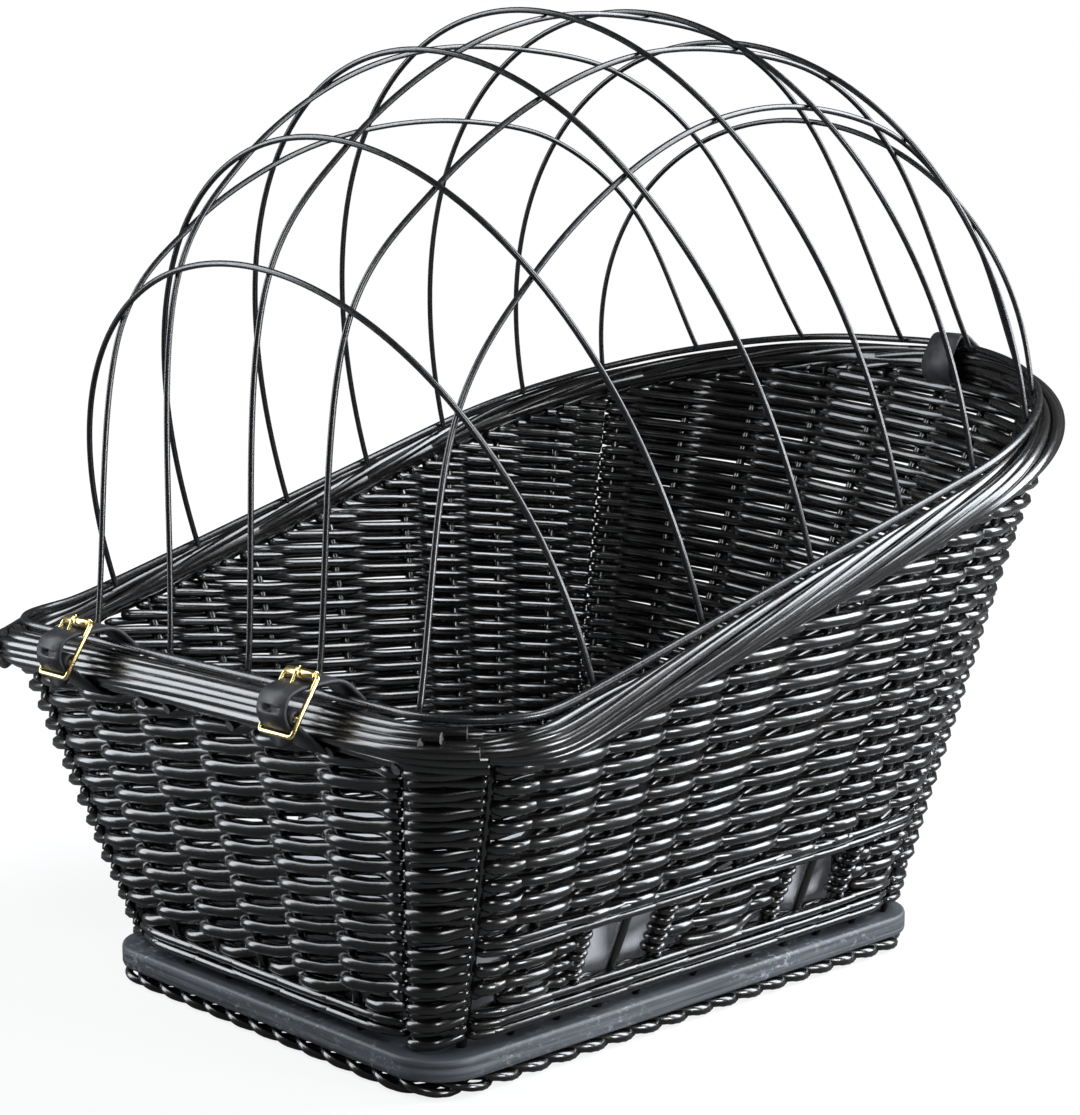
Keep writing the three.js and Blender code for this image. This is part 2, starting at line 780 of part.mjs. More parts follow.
// A long wire runs just inside every cross wire, a gap short of touching it
function longWire(shares) {
  const start = rimPoint(shareAcross(shares.low * longWireSpread, false), footOffset, 0);
  const end = rimPoint(shareAcross(shares.high * longWireSpread, true), footOffset, 0);
  const bow = shares.bow * longWireBow;
  const crossings = archLines.map((line, i) => {
    const along = (i + 1) / (archLines.length + 1);
    const target = start.y + (end.y - start.y) * along + 4 * bow * along * (1 - along);
    const nearY = line(-1).y;
    const farY = line(1).y;
    const across = (2 * (target - nearY)) / (farY - nearY) - 1;
    const tangent = line(across + smallStep).sub(line(across - smallStep));
    return { at: line(across), tangent };
  });
  const inside = crossings.map(({ at, tangent }, i) => {
    const before = i > 0 ? crossings[i - 1].at : start;
    const after = i < crossings.length - 1 ? crossings[i + 1].at : end;
    const inward = tangent.cross(after.clone().sub(before)).normalize();
    if (inward.z > 0) inward.negate();
    return at.clone().addScaledVector(inward, cageWireDiameter + clearance);
  });
  const points = [tipBelow(start), start, ...inside, end, tipBelow(end)];
  return wireAlong(new THREE.CatmullRomCurve3(points, false, 'centripetal'), cageWireRadius, longSteps);
}

// Assembly

const windowStakeTop = boardTop + windowHead + windowStakeGrip;
const sides = [
  { name: 'near', share: (value) => value, facing: -1 },
  { name: 'far', share: (value) => 1 - value, facing: 1 },
];
const holes = [];
const windowCutters = { near: [], far: [] };

for (const { name, share, facing } of sides) {
  windowCentres.forEach((centre, i) => {
    const radius = windowStakeDiameter / 2;
    const headX = centre + windowStakeLeans[i];
    const foot = wallPoint(share(wallShareAt(centre, boardTop)), boardTop, 0);
    const head = wallPoint(share(wallShareAt(headX, windowStakeTop)), windowStakeTop, 0);
    addPart(`window_stake_${name}_${stakeNames[i]}`, stake(foot, head, radius), willow);
    const bore = stakeHole(foot, head, radius);
    holes.push(bore);
    windowCutters[name].push(bore);

    const opening = new THREE.Shape();
    const half = windowWidth / 2 - windowCornerRadius;
    opening.absarc(half, windowCornerRadius, windowCornerRadius, -Math.PI / 2, 0, false);
    opening.absarc(half, windowHeight - windowCornerRadius, windowCornerRadius, 0, Math.PI / 2, false);
    opening.absarc(-half, windowHeight - windowCornerRadius, windowCornerRadius, Math.PI / 2, Math.PI, false);
    opening.absarc(-half, windowCornerRadius, windowCornerRadius, Math.PI, 1.5 * Math.PI, false);
    const depth = halfBoardWidth;
    const block = new THREE.ExtrudeGeometry(opening, { depth, bevelEnabled: false, curveSegments: 3 });
    block.rotateX(Math.PI / 2);
    const middle = facing * (halfBoardWidth - wallInset);
    block.translate(centre, middle + depth / 2, boardTop + windowSill);
    windowCutters[name].push(block);
  });
  cornerShares.forEach((at, i) => {
    const radius = cornerStakeDiameter / 2;
    const foot = wallPoint(share(at), boardTop, 0);
    const head = wallPoint(share(at), wallTop(share(at)) - clearance, 0);
    addPart(`corner_stake_${name}_${i + 1}`, stake(foot, head, radius), willow);
    holes.push(stakeHole(foot, head, radius));
  });
}

addPart('base_board', baseBoard(holes), stainedPly);
addPart('foot_border', footBorder(), willow);

const lowSlots = strapCentres.map((y) => strapSlot(shareAcross(y, false), strapWidth, clearance));
const highSlot = strapSlot(hingeShare, hingeLoopWidth, hingeBow + hingeClimb);
const lowEdge = cornerShares[0] - stakeMargin;
const cornerFrom = cornerShares[0] + stakeMargin;
const cornerTo = cornerShares[1] - stakeMargin;
const sideFrom = cornerShares[1] + stakeMargin;
const sideTo = highCornerShare - seam;

addPart('woven_wall_low_end', cut(wovenWall(-lowEdge, lowEdge, wallColumns.end), lowSlots), willow);
addPart('woven_corner_near', wovenWall(cornerFrom, cornerTo, wallColumns.corner), willow);
addPart('woven_corner_far', wovenWall(1 - cornerTo, 1 - cornerFrom, wallColumns.corner), willow);
const nearWall = wovenWall(sideFrom, sideTo, wallColumns.near);
const farWall = wovenWall(1 - sideTo, 1 - sideFrom, wallColumns.near);
addPart('woven_wall_near', cut(nearWall, windowCutters.near), willow);
addPart('woven_wall_far', cut(farWall, windowCutters.far), willow);
const highFrom = highCornerShare + seam;
addPart('woven_wall_high_end', cut(wovenWall(highFrom, 1 - highFrom, wallColumns.high), [highSlot]), willow);

const borderSection = ovalSection(borderWidth / 2, borderHeight / 2, borderSides);
addPart('rim_border', rimRing(borderSection, borderSteps, borderOffset, borderDrop), willow);
addPart('cushion', cushion(), greyCloth);

const ringSection = ovalSection(rimWireRadius, rimWireRadius, wireSides);
addPart('cage_rim_wire', rimRing(ringSection, ringSteps, 0, 0), blackWire);
archLines.forEach((line, i) => addPart(`cross_wire_${i + 1}`, crossWire(line), blackWire));
longWireShares.forEach((shares, i) => {
  addPart(`long_wire_${i + 1}`, longWire(shares), blackWire);
});

addPart('hinge_loop', hingeLoop(), blackLeather);
strapCentres.forEach((y, i) => {
  const side = i === 0 ? 'far' : 'near';
  addPart(`strap_${side}`, strap(y), blackLeather);
  addPart(`buckle_frame_${side}`, buckleFrame(y), brass);
  const rollerTube = tube(rollerCentre, barRadius + runningGap, rollerDiameter / 2, strapWidth, y);
  addPart(`buckle_roller_${side}`, rollerTube, brass);
  addPart(`buckle_prong_${side}`, prong(y), brass);
});

// The origin is the middle of the basket's footprint, on the surface that it stands on
const whole = new THREE.Box3().setFromObject(basket);
const middle = whole.getCenter(new THREE.Vector3());
basket.position.set(-middle.x, -middle.y, -whole.min.z);
basket.updateMatrixWorld(true);

export default basket;
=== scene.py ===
import bpy
import numpy as np
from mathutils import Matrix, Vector


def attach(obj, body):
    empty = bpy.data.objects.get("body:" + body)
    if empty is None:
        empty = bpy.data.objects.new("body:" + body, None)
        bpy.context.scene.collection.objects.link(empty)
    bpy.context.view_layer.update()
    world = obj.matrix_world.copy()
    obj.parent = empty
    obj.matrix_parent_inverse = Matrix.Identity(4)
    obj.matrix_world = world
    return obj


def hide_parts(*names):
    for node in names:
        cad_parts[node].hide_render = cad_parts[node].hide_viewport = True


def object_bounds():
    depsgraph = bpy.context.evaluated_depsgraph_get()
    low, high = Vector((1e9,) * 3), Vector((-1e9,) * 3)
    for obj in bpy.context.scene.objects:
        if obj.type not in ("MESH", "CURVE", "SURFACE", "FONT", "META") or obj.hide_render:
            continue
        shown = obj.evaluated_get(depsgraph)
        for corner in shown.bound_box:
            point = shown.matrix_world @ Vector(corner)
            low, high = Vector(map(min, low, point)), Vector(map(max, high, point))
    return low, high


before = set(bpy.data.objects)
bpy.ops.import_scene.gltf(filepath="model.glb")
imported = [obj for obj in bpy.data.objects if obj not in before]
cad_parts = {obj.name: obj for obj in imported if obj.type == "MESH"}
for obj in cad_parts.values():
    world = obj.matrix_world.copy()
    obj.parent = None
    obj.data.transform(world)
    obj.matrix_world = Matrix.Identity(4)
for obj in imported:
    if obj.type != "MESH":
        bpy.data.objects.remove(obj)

cad_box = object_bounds()

# VIEW AND LIGHT
# The camera stands low at the near corner of the low end, as the photograph was taken. A tall
# lamp on the right and one at the far left make the rods' strokes of light. Two small ones reach
# the windows and the low end.
scene = bpy.context.scene
scene.view_settings.view_transform = "Standard"

camera_place = Vector((-0.9003, -0.9136, 0.4108))
azimuth, elevation = np.radians(-43.71), np.radians(9.03)
look_back = Vector((np.sin(azimuth) * np.cos(elevation), -np.cos(azimuth) * np.cos(elevation),
                    np.sin(elevation)))
focal_pixels, photo_height, film_width = 2409.66, 1115.0, 36.0
lens = bpy.data.cameras.new("camera")
lens.sensor_width = film_width
lens.lens = focal_pixels * film_width / photo_height
lens.shift_x, lens.shift_y, lens.clip_end = -0.0015, 0.0135, 20.0
camera = bpy.data.objects.new("camera", lens)
camera.location = camera_place
camera.rotation_euler = (-look_back).to_track_quat("-Z", "Y").to_euler()
scene.collection.objects.link(camera)
scene.camera = camera


cool, neutral = (0.90, 0.95, 1.0), (0.95, 0.975, 1.0)


def softbox(name, place, target, width, height, watts, colour):
    """A rectangular lamp at one place that faces another."""
    lamp = bpy.data.lights.new(name, "AREA")
    lamp.shape = "RECTANGLE"
    lamp.size, lamp.size_y = width, height
    lamp.energy, lamp.color = watts, colour
    holder = bpy.data.objects.new(name, lamp)
    holder.location = Vector(place)
    holder.rotation_euler = (Vector(target) - Vector(place)).to_track_quat("-Z", "Y").to_euler()
    scene.collection.objects.link(holder)


softbox("key_lamp", (1.35, -0.9, 1.25), (0, 0, 0.15), 1.0, 2.4, 98.0, cool)
softbox("left_lamp", (-1.0, 1.2, 0.9), (-0.1, 0, 0.15), 0.7, 2.0, 33.0, cool)
softbox("window_lamp", (0.25, -1.5, 0.32), (0.0, -0.1, 0.06), 0.5, 0.4, 17.0, neutral)
softbox("front_lamp", (-0.85, -0.95, 1.15), (-0.15, -0.08, 0.15), 0.35, 0.6, 9.0, neutral)


# FLOOR
# A plain sheet under the basket. Only the camera sees its glow, and that glow is painted light:
# dimmer near the basket, so that the basket's own faint shadow shows, and near white further out,
# where the lamps light it less. The world is white to the camera. Glossy rays see a small share
# of that white, so that the varnish stays black.
class Flow:
    """A value in a node tree. The signs + - * and the methods each add one Math node."""

    def __init__(self, owner, socket):
        self.owner, self.socket = owner, socket

    def maths(self, operation, *others):
        return self.owner.node("ShaderNodeMath", dict(enumerate((self,) + others)), operation=operation)

    def __add__(self, other):
        return self.maths("ADD", other)

    def __sub__(self, other):
        return self.maths("SUBTRACT", other)

    def __rsub__(self, other):
        return self.owner.node("ShaderNodeMath", {0: other, 1: self}, operation="SUBTRACT")

    def __mul__(self, other):
        return self.maths("MULTIPLY", other)

    __radd__, __rmul__ = __add__, __mul__

    def sine(self):
        return self.maths("SINE")

    def least(self, other):
        return self.maths("MINIMUM", other)

    def band(self, low, high, start=0.0, end=1.0):
        """The value carried from the range low to high over to start to end, clamped there."""
        values = {"Value": self, "From Min": low, "From Max": high, "To Min": start, "To Max": end}
        return self.owner.node("ShaderNodeMapRange", values, clamp=True)


class Tree:
    """A node tree whose nodes are added one by one."""

    def __init__(self, tree):
        self.tree = tree

    def node(self, kind, values=None, output=0, **settings):
        """Adds a node, sets its inputs to numbers or Flow values, and gives one output."""
        made = self.tree.nodes.new(kind)
        for name, value in settings.items():
            setattr(made, name, value)
        for slot, value in (values or {}).items():
            self.feed(made.inputs[slot], value)
        return Flow(self, made.outputs[output])

    def feed(self, socket, value):
        if isinstance(value, Flow):
            self.tree.links.new(value.socket, socket)
        else:
            socket.default_value = value

    def ray(self, kind):
        return self.node("ShaderNodeLightPath", output=f"Is {kind} Ray")


class Finish(Tree):
    """A material whose pattern is written as expressions on Flow values."""

    def __init__(self, name, **fixed):
        self.material = bpy.data.materials.new(name)
        self.material.use_nodes = True
        super().__init__(self.material.node_tree)
        self.shader = self.tree.nodes["Principled BSDF"]
        for socket, value in fixed.items():
            self.shader.inputs[socket.replace("_", " ")].default_value = value

    def place(self):
        return self.node("ShaderNodeTexCoord", output="Object")

    def stretched(self, vector, x, y, z):
        return self.node("ShaderNodeMapping", {"Vector": vector, "Scale": (x, y, z)})

    def noise(self, vector, scale, detail, roughness):
        values = {"Vector": vector, "Scale": scale, "Detail": detail, "Roughness": roughness}
        return self.node("ShaderNodeTexNoise", values, output="Fac")

    def blend(self, share, first, second):
        """The first colour where the share is 0 and the second where it is 1."""
        made = self.tree.nodes.new("ShaderNodeMix")
        made.data_type = "RGBA"
        self.feed(made.inputs["Factor"], share)
        for slot, value in (("A", first), ("B", second)):
            self.feed(next(s for s in made.inputs if s.name == slot and s.type == "RGBA"), value)
        return Flow(self, next(s for s in made.outputs if s.type == "RGBA"))

    def surface(self, colour, roughness, relief, depth, strength):
        """Joins the colour, the roughness and the relief to the shader."""
        values = {"Height": relief, "Distance": depth, "Strength": strength}
        normal = self.node("ShaderNodeBump", values)
        for socket, value in (("Base Color", colour), ("Roughness", roughness), ("Normal", normal)):
            self.feed(self.shader.inputs[socket], value)
        return self.material


floor_reach = 6.0
floor_mesh = bpy.data.meshes.new("floor")
floor_mesh.from_pydata([(x * floor_reach, y * floor_reach, 0)
                        for x, y in ((-1, -1), (1, -1), (1, 1), (-1, 1))], [], [(0, 1, 2, 3)])
floor = bpy.data.objects.new("floor", floor_mesh)
scene.collection.objects.link(floor)
floor_finish = Finish("pale_floor", Base_Color=(0.13, 0.13, 0.13, 1), Roughness=0.9,
                      Specular_IOR_Level=0.1)
# The floor's painted glow: shadow_white within shadow_reach of the basket, rising to far_white beyond
# white_reach.
shadow_reach, white_reach, shadow_white, far_white = 0.35, 1.5, 0.84, 0.995
from_basket = floor_finish.node("ShaderNodeVectorMath", {0: floor_finish.place()}, "Value",
                                operation="LENGTH")
painted_glow_level = from_basket.band(shadow_reach, white_reach, shadow_white, far_white)
floor_glow = floor_finish.blend(painted_glow_level, (0, 0, 0, 1), (1, 1, 1, 1))
floor_finish.feed(floor_finish.shader.inputs["Emission Color"], floor_glow)
floor_finish.feed(floor_finish.shader.inputs["Emission Strength"], floor_finish.ray("Camera"))
floor_mesh.materials.append(floor_finish.material)

world = bpy.data.worlds.new("pale_room")
world.use_nodes = True
scene.world = world
sky = world.node_tree.nodes["Background"]
sky.inputs["Color"].default_value = (1, 1, 1, 1)
room = Tree(world.node_tree)
mirror_share, room_light = 0.06, 0.03
white_seen = room.ray("Glossy") * mirror_share + (room.ray("Camera") + room.ray("Transmission"))
room.feed(sky.inputs["Strength"], white_seen.band(0.0, 1.0, room_light, 1.0))


# BASE BOARD
# A board of dark grey stained plywood with rounded corners and softened edges. The stakes are
# set in holes along its edge. Lengths here and below are in millimetres, x from the board's low
# edge, and become metres in the mesh.
board_length, board_width = 360.0, 266.0
board_bottom, board_top = 9.3, 20.3
frame_shift = np.array([cad_box[0][0] * 1000 + 58.377, 0.0, 0.0])
noise_source = np.random.default_rng(7)
y_axis, z_axis = np.eye(3)[1:]


def unit(vectors):
    return vectors / np.linalg.norm(vectors, axis=-1, keepdims=True)


def circle(count):
    """Points (cos, sin) at equal steps round the unit circle."""
    turn = 2 * np.pi * np.arange(count) / count
    return np.stack([np.cos(turn), np.sin(turn)], -1)


def outline(low, high, low_half, high_half, low_radius, high_radius):
    """A four-cornered loop with rounded corners. It starts in the middle of its low end and runs
    past the near side first. Gives points (x, y) and outward directions for shares of its length."""
    corners = np.array([[low, -low_half], [high, -high_half], [high, high_half], [low, low_half]])
    points = [np.array([[low, 0.0]])]
    for i, radius in enumerate((low_radius, high_radius, high_radius, low_radius)):
        before, after = unit(corners[[i - 1, (i + 1) % 4]] - corners[i])
        half = np.arccos(before @ after) / 2
        centre = corners[i] + unit(before + after) * radius / np.sin(half)
        first = corners[i] + before * radius / np.tan(half) - centre
        start = np.arctan2(first[1], first[0])
        angles = start + np.linspace(0, np.pi - 2 * half, 60)
        points.append(centre + radius * np.stack([np.cos(angles), np.sin(angles)], 1))
    points.append(points[0])
    line = np.concatenate(points)
    lengths = np.concatenate([[0], np.cumsum(np.linalg.norm(np.diff(line, axis=0), axis=1))])
    shares = lengths / lengths[-1]

    def at(share):
        def point(value):
            value = np.mod(value, 1.0)
            return np.stack([np.interp(value, shares, line[:, k]) for k in (0, 1)], -1)

        ahead = unit(point(share + 0.001) - point(share - 0.001))
        return point(share), ahead[..., ::-1] * (1, -1)

    at.length = lengths[-1]
    return at


def inset_board(inset, radius):
    half = board_width / 2 - inset
    return outline(inset, board_length - inset, half, half, radius, radius)


def column(count):
    """Places from 0 to 1, as a column."""
    return np.linspace(0, 1, count)[:, None]


def raised(flat, height):
    """Plan points (..., 2) with a height as their third coordinate."""
    height = np.broadcast_to(height, flat.shape[:-1])
    return np.concatenate([flat, height[..., None]], -1)


def skin(name, grid, closed_along=False, finishes=(), cut_ends=False):
    """A mesh of closed skins from points (pieces, along, round, 3). Each ring turns
    anticlockwise about the direction of travel, so that the faces point outwards. An open skin
    gets a flat face at each end. UV "along" is the length travelled and the turn round it."""
    pieces, steps, sides = grid.shape[:3]
    index = np.arange(pieces * steps * sides).reshape(pieces, steps, sides)
    here = index if closed_along else index[:, :-1]
    ahead = np.roll(index, -1, 1) if closed_along else index[:, 1:]
    quads = np.stack([here, np.roll(here, -1, 2), np.roll(ahead, -1, 2), ahead], -1)
    travelled = np.linalg.norm(np.diff(grid, axis=1, append=grid[:, :1]), axis=-1).mean(-1)
    travelled = np.cumsum(np.concatenate([np.zeros((pieces, 1)), travelled], 1), 1) * 0.001
    start = np.repeat(travelled[:, :here.shape[1], None], sides, 2)
    end = np.repeat(travelled[:, 1:here.shape[1] + 1, None], sides, 2)
    turn = np.broadcast_to(np.arange(sides) / sides, start.shape)
    us = np.stack([start, start, end, end], -1).ravel()
    vs = np.stack([turn, turn + 1 / sides, turn + 1 / sides, turn], -1).ravel()
    loops = quads.reshape(-1)
    totals = np.full(quads.size // 4, 4)
    if not closed_along:
        caps = np.concatenate([index[:, 0, ::-1], index[:, -1]])
        loops = np.concatenate([loops, caps.ravel()])
        totals = np.concatenate([totals, np.full(len(caps), sides)])
        cap_us, cap_vs = circle(sides).T
        us = np.concatenate([us, np.tile(0.002 * cap_us, len(caps))])
        vs = np.concatenate([vs, np.tile(0.5 + 0.5 * cap_vs, len(caps))])
    mesh = bpy.data.meshes.new(name)
    mesh.vertices.add(index.size)
    mesh.vertices.foreach_set("co", ((grid + frame_shift) * 0.001).ravel())
    mesh.loops.add(len(loops))
    mesh.loops.foreach_set("vertex_index", loops.astype(np.int32))
    mesh.polygons.add(len(totals))
    starts = np.concatenate([[0], np.cumsum(totals)[:-1]])
    mesh.polygons.foreach_set("loop_start", starts.astype(np.int32))
    mesh.polygons.foreach_set("loop_total", totals.astype(np.int32))
    mesh.polygons.foreach_set("use_smooth", totals == 4)
    if cut_ends:
        mesh.polygons.foreach_set("material_index", (totals != 4).astype(np.int32))
    mesh.update(calc_edges=True)
    layer = mesh.uv_layers.new(name="along")
    layer.data.foreach_set("uv", np.stack([us, vs], -1).ravel().astype(np.float32))
    tint = noise_source.uniform(0, 1, pieces)
    shade = mesh.attributes.new("tint", "FLOAT", "POINT")
    shade.data.foreach_set("value", np.repeat(tint, steps * sides).astype(np.float32))
    if cut_ends:
        keys = np.empty(2 * len(mesh.edges), np.int32)
        mesh.edges.foreach_get("vertices", keys)
        ring = (keys // sides % steps).reshape(-1, 2)
        edge_ends = (ring[:, 0] == ring[:, 1]) & np.isin(ring[:, 0], (0, steps - 1))
        sharp = mesh.attributes.new("sharp_edge", "BOOLEAN", "EDGE")
        sharp.data.foreach_set("value", edge_ends)
    for finish in finishes:
        mesh.materials.append(finish)
    piece = bpy.data.objects.new(name, mesh)
    scene.collection.objects.link(piece)
    return piece


def put(piece, body, node):
    """The piece rides on a body and stands in for a CAD node, which is hidden."""
    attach(piece, body)
    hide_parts(node)


ply = Finish("stained_plywood", Roughness=0.55, Specular_IOR_Level=0.45)
ply_place = ply.place()
grain = ply.noise(ply.stretched(ply_place, 14, 14, 520), 1.0, 4.0, 0.6)
plies = ply.noise(ply.stretched(ply_place, 3, 3, 900), 1.0, 1.0, 0.4)
scuffs = ply.noise(ply.stretched(ply_place, 260, 260, 420), 1.0, 6.0, 0.7)
worn = ply.noise(ply_place, 14.0, 3.0, 0.6).band(0.42, 0.62)
marks = (scuffs.band(0.54, 0.68) * worn).least(1.0)
dark_stain, pale_stain = (0.032, 0.036, 0.042, 1), (0.110, 0.120, 0.135, 1)
ply_joint, bare_wood = (0.016, 0.018, 0.021, 1), (0.33, 0.36, 0.40, 1)
ply_colour = ply.blend(grain.band(0.3, 0.7), dark_stain, pale_stain)
ply_colour = ply.blend(plies.band(0.4, 0.65) * 0.5, ply_colour, ply_joint)
ply_colour = ply.blend(marks, ply_colour, bare_wood)
ply_finish = ply.surface(ply_colour, grain.band(0.3, 0.7, 0.42, 0.62) - marks * 0.1,
                         grain * 0.5 + scuffs * 0.4, 0.0006, 0.5)

edge_round = 1.6
half_profile = np.array([[30.0, 0.0], [6.0, 0.0], [edge_round, 0.0], [0.5, 0.4],
                         [0.0, edge_round], [0.0, 4.0]])
board_levels = np.concatenate([half_profile + (0.0, board_bottom),
                               (half_profile * (1, -1) + (0.0, board_top))[::-1]])
edge_points, edge_out = inset_board(0.0, 28.0)(np.linspace(0, 1, 240, endpoint=False))
board_rings = np.stack([raised(edge_points - inset * edge_out, level)
                        for inset, level in board_levels])
board = skin("board", board_rings[None], finishes=[ply_finish])
put(board, "basket", "base_board")


# WILLOW
# Peeled willow rods, stained black-brown and varnished while wet, so that they shine. Fine
# ridges run along each rod, and cut ends show grey.
willow = Finish("black_willow", Roughness=0.3, Specular_IOR_Level=0.5, Coat_Weight=0.6,
                Coat_Roughness=0.15)
black, warm_black = (0.0014, 0.0013, 0.0013, 1), (0.005, 0.0036, 0.0028, 1)
ridge_grey = (0.013, 0.012, 0.012, 1)
rod_tint = willow.node("ShaderNodeAttribute", output="Fac", attribute_name="tint")
rod_map = willow.node("ShaderNodeUVMap", uv_map="along")
ridges = willow.noise(willow.stretched(rod_map, 55, 9, 1), 1.0, 4.0, 0.6)
patches = willow.noise(willow.place(), 38.0, 3.0, 0.55)
rod_colour = willow.blend((patches * 0.6 + rod_tint * 0.6).band(0.45, 0.95), black, warm_black)
rod_colour = willow.blend(ridges.band(0.62, 0.80) * 0.4, rod_colour, ridge_grey)
rod_rough = ridges.band(0.3, 0.75, 0.18, 0.28) + rod_tint * 0.05
willow_finish = willow.surface(rod_colour, rod_rough, ridges, 0.0004, 0.5)

cut_face = Finish("cut_willow", Roughness=0.7)
pith_dark, pith_pale = (0.045, 0.043, 0.045, 1), (0.16, 0.155, 0.155, 1)
pith = cut_face.noise(cut_face.place(), 900.0, 2.0, 0.5)
cut_finish = cut_face.surface(cut_face.blend(pith.band(0.35, 0.65), pith_dark, pith_pale),
                              pith.band(0.3, 0.7, 0.6, 0.8), pith, 0.0003, 0.4)


def rods(paths, radius, facing, sides=8, closed=False, round_ends=True):
    """Round rods along paths (rods, steps, 3). The facing vectors point to the side of each
    path. A ring at each step: path + radius * (cos a * side + sin a * (ahead x side))."""
    ahead = unit(np.roll(paths, -1, 1) - np.roll(paths, 1, 1) if closed else np.gradient(paths, axis=1))
    facing = np.broadcast_to(facing, paths.shape)
    side = unit(facing - (facing * ahead).sum(-1, keepdims=True) * ahead)
    other = np.cross(ahead, side)
    radius = np.array(np.broadcast_to(radius, paths.shape[:2]))
    if round_ends and not closed:
        radius[:, [0, -1]] *= 0.6
    turn = circle(sides) @ np.stack([side, other], -2)
    return paths[..., None, :] + radius[..., None, None] * turn


# FOOT BORDER
# Thick rods plaited into a rope under the board's edge. The basket stands on it, and at the low
# end daylight shows between its strands and the board.
foot_strands, foot_turns = 3, 20
foot_half_width, foot_middle, foot_half_height = 9.3, 4.55, 4.5
foot_share = np.linspace(0, 1, 840, endpoint=False)[None, :]
foot_phase = (np.arange(foot_strands) / foot_strands)[:, None]
foot_angle = 2 * np.pi * (foot_turns * foot_share + foot_phase)
foot_points, foot_out = inset_board(9.5, 21.0)(np.repeat(foot_share, foot_strands, 0))
foot_radius = 3.1 - 0.95 * np.clip((70.0 - foot_points[..., 0]) / 40.0, 0, 1)
foot_across = (foot_half_width - foot_radius) * np.cos(foot_angle)
foot_rise = foot_middle - (foot_half_height - foot_radius) * np.sin(foot_angle)
foot_lines = raised(foot_points + foot_out * foot_across[..., None], foot_rise)
foot_facing = raised(foot_out * np.cos(foot_angle)[..., None], -np.sin(foot_angle))
foot_grid = rods(foot_lines, foot_radius, foot_facing, 9, closed=True)
foot = skin("foot_plait", foot_grid, closed_along=True, finishes=[willow_finish])
put(foot, "basket", "foot_border")


# WOVEN WALLS
# Willow rods woven in and out of upright stakes. Every rod climbs a row as it passes in front of
# one stake and behind the next, and shows as a short bright stroke. Finer rods, laid as a rope,
# close the foot of the wall and the heads of the windows.
wall_path = inset_board(10.5, 19.0)
rim_low_x, rim_high_x = -25.0, 484.0
rim_path = outline(rim_low_x, rim_high_x, 188.0, 203.0, 44.0, 182.0)
rim_offset, rim_drop, border_half_height = 3.0, 12.3, 10.0
rim_low_height, rim_slope, climb_start, climb_ease = board_top + 169.0, 0.2853, 20.0, 14.0


def rim_height(x):
    """Level at the low end, then a straight climb: half the slope times (d + hypot(d, ease))."""
    beyond = x - climb_start
    return rim_low_height + rim_slope * (beyond + np.hypot(beyond, climb_ease)) / 2


def rim_point(share, outward, down):
    flat, out = rim_path(share)
    outward = np.broadcast_to(outward, share.shape)
    return raised(flat + out * outward[..., None], rim_height(flat[..., 0]) - down)


def wall_point(share, height, outward):
    """On the straight line from the board's edge to the rim border at one share of both."""
    flat, out = wall_path(share)
    outward = np.broadcast_to(outward, share.shape)
    foot_place = raised(flat + out * outward[..., None], board_top)
    head = rim_point(share, rim_offset + outward, rim_drop)
    part = (height - board_top) / (head[..., 2] - board_top)
    return foot_place + (head - foot_place) * part[..., None]


def wall_out(share):
    """The outward direction of the wall: across its foot and its lean."""
    height = np.full(share.shape, board_top)
    up = wall_point(share, height + 100, 0.0) - wall_point(share, height, 0.0)
    along = wall_point(share + 0.002, height + 50, 0.0) - wall_point(share - 0.002, height + 50, 0.0)
    return unit(np.cross(along, up))


def level_at(height):
    """An edge of a woven field at one height, as a function of the share."""
    return lambda share: np.full(share.shape, height)


def wall_top(share):
    return rim_point(share, 0.0, rim_drop)[..., 2] - border_half_height


stake_radius, weave_depth, row_pitch = 2.6, 3.9, 10.0
low_corner_shares = np.array([0.09118, 0.11744])
seam_share = 0.3825

stroke_ahead = np.array([0.0, 0.12, 0.5, 0.8, 1.0, 1.3, 1.68, 1.84, 2.0])
stroke_depth = np.array([1.0, 1.05, 0.35, -0.55, -0.9, -1.0, -0.95, 0.1, 1.0])
even_strokes = (np.array([0.0, 0.3, 0.5, 0.7, 1.0, 1.3, 1.5, 1.7, 2.0]),
                np.array([1.05, 0.9, 0.1, -0.8, -1.05, -0.8, -0.1, 0.75, 1.05]))


def smooth_table(places, values, period):
    """A periodic table of values, evened out with a short running mean."""
    fine = np.linspace(0, period, 240, endpoint=False)
    level = np.interp(fine, places, values, period=period)
    window, margin = np.hanning(17), 20
    wrapped = np.pad(level, margin, "wrap")
    return fine, np.convolve(wrapped, window / window.sum(), "same")[margin:-margin]


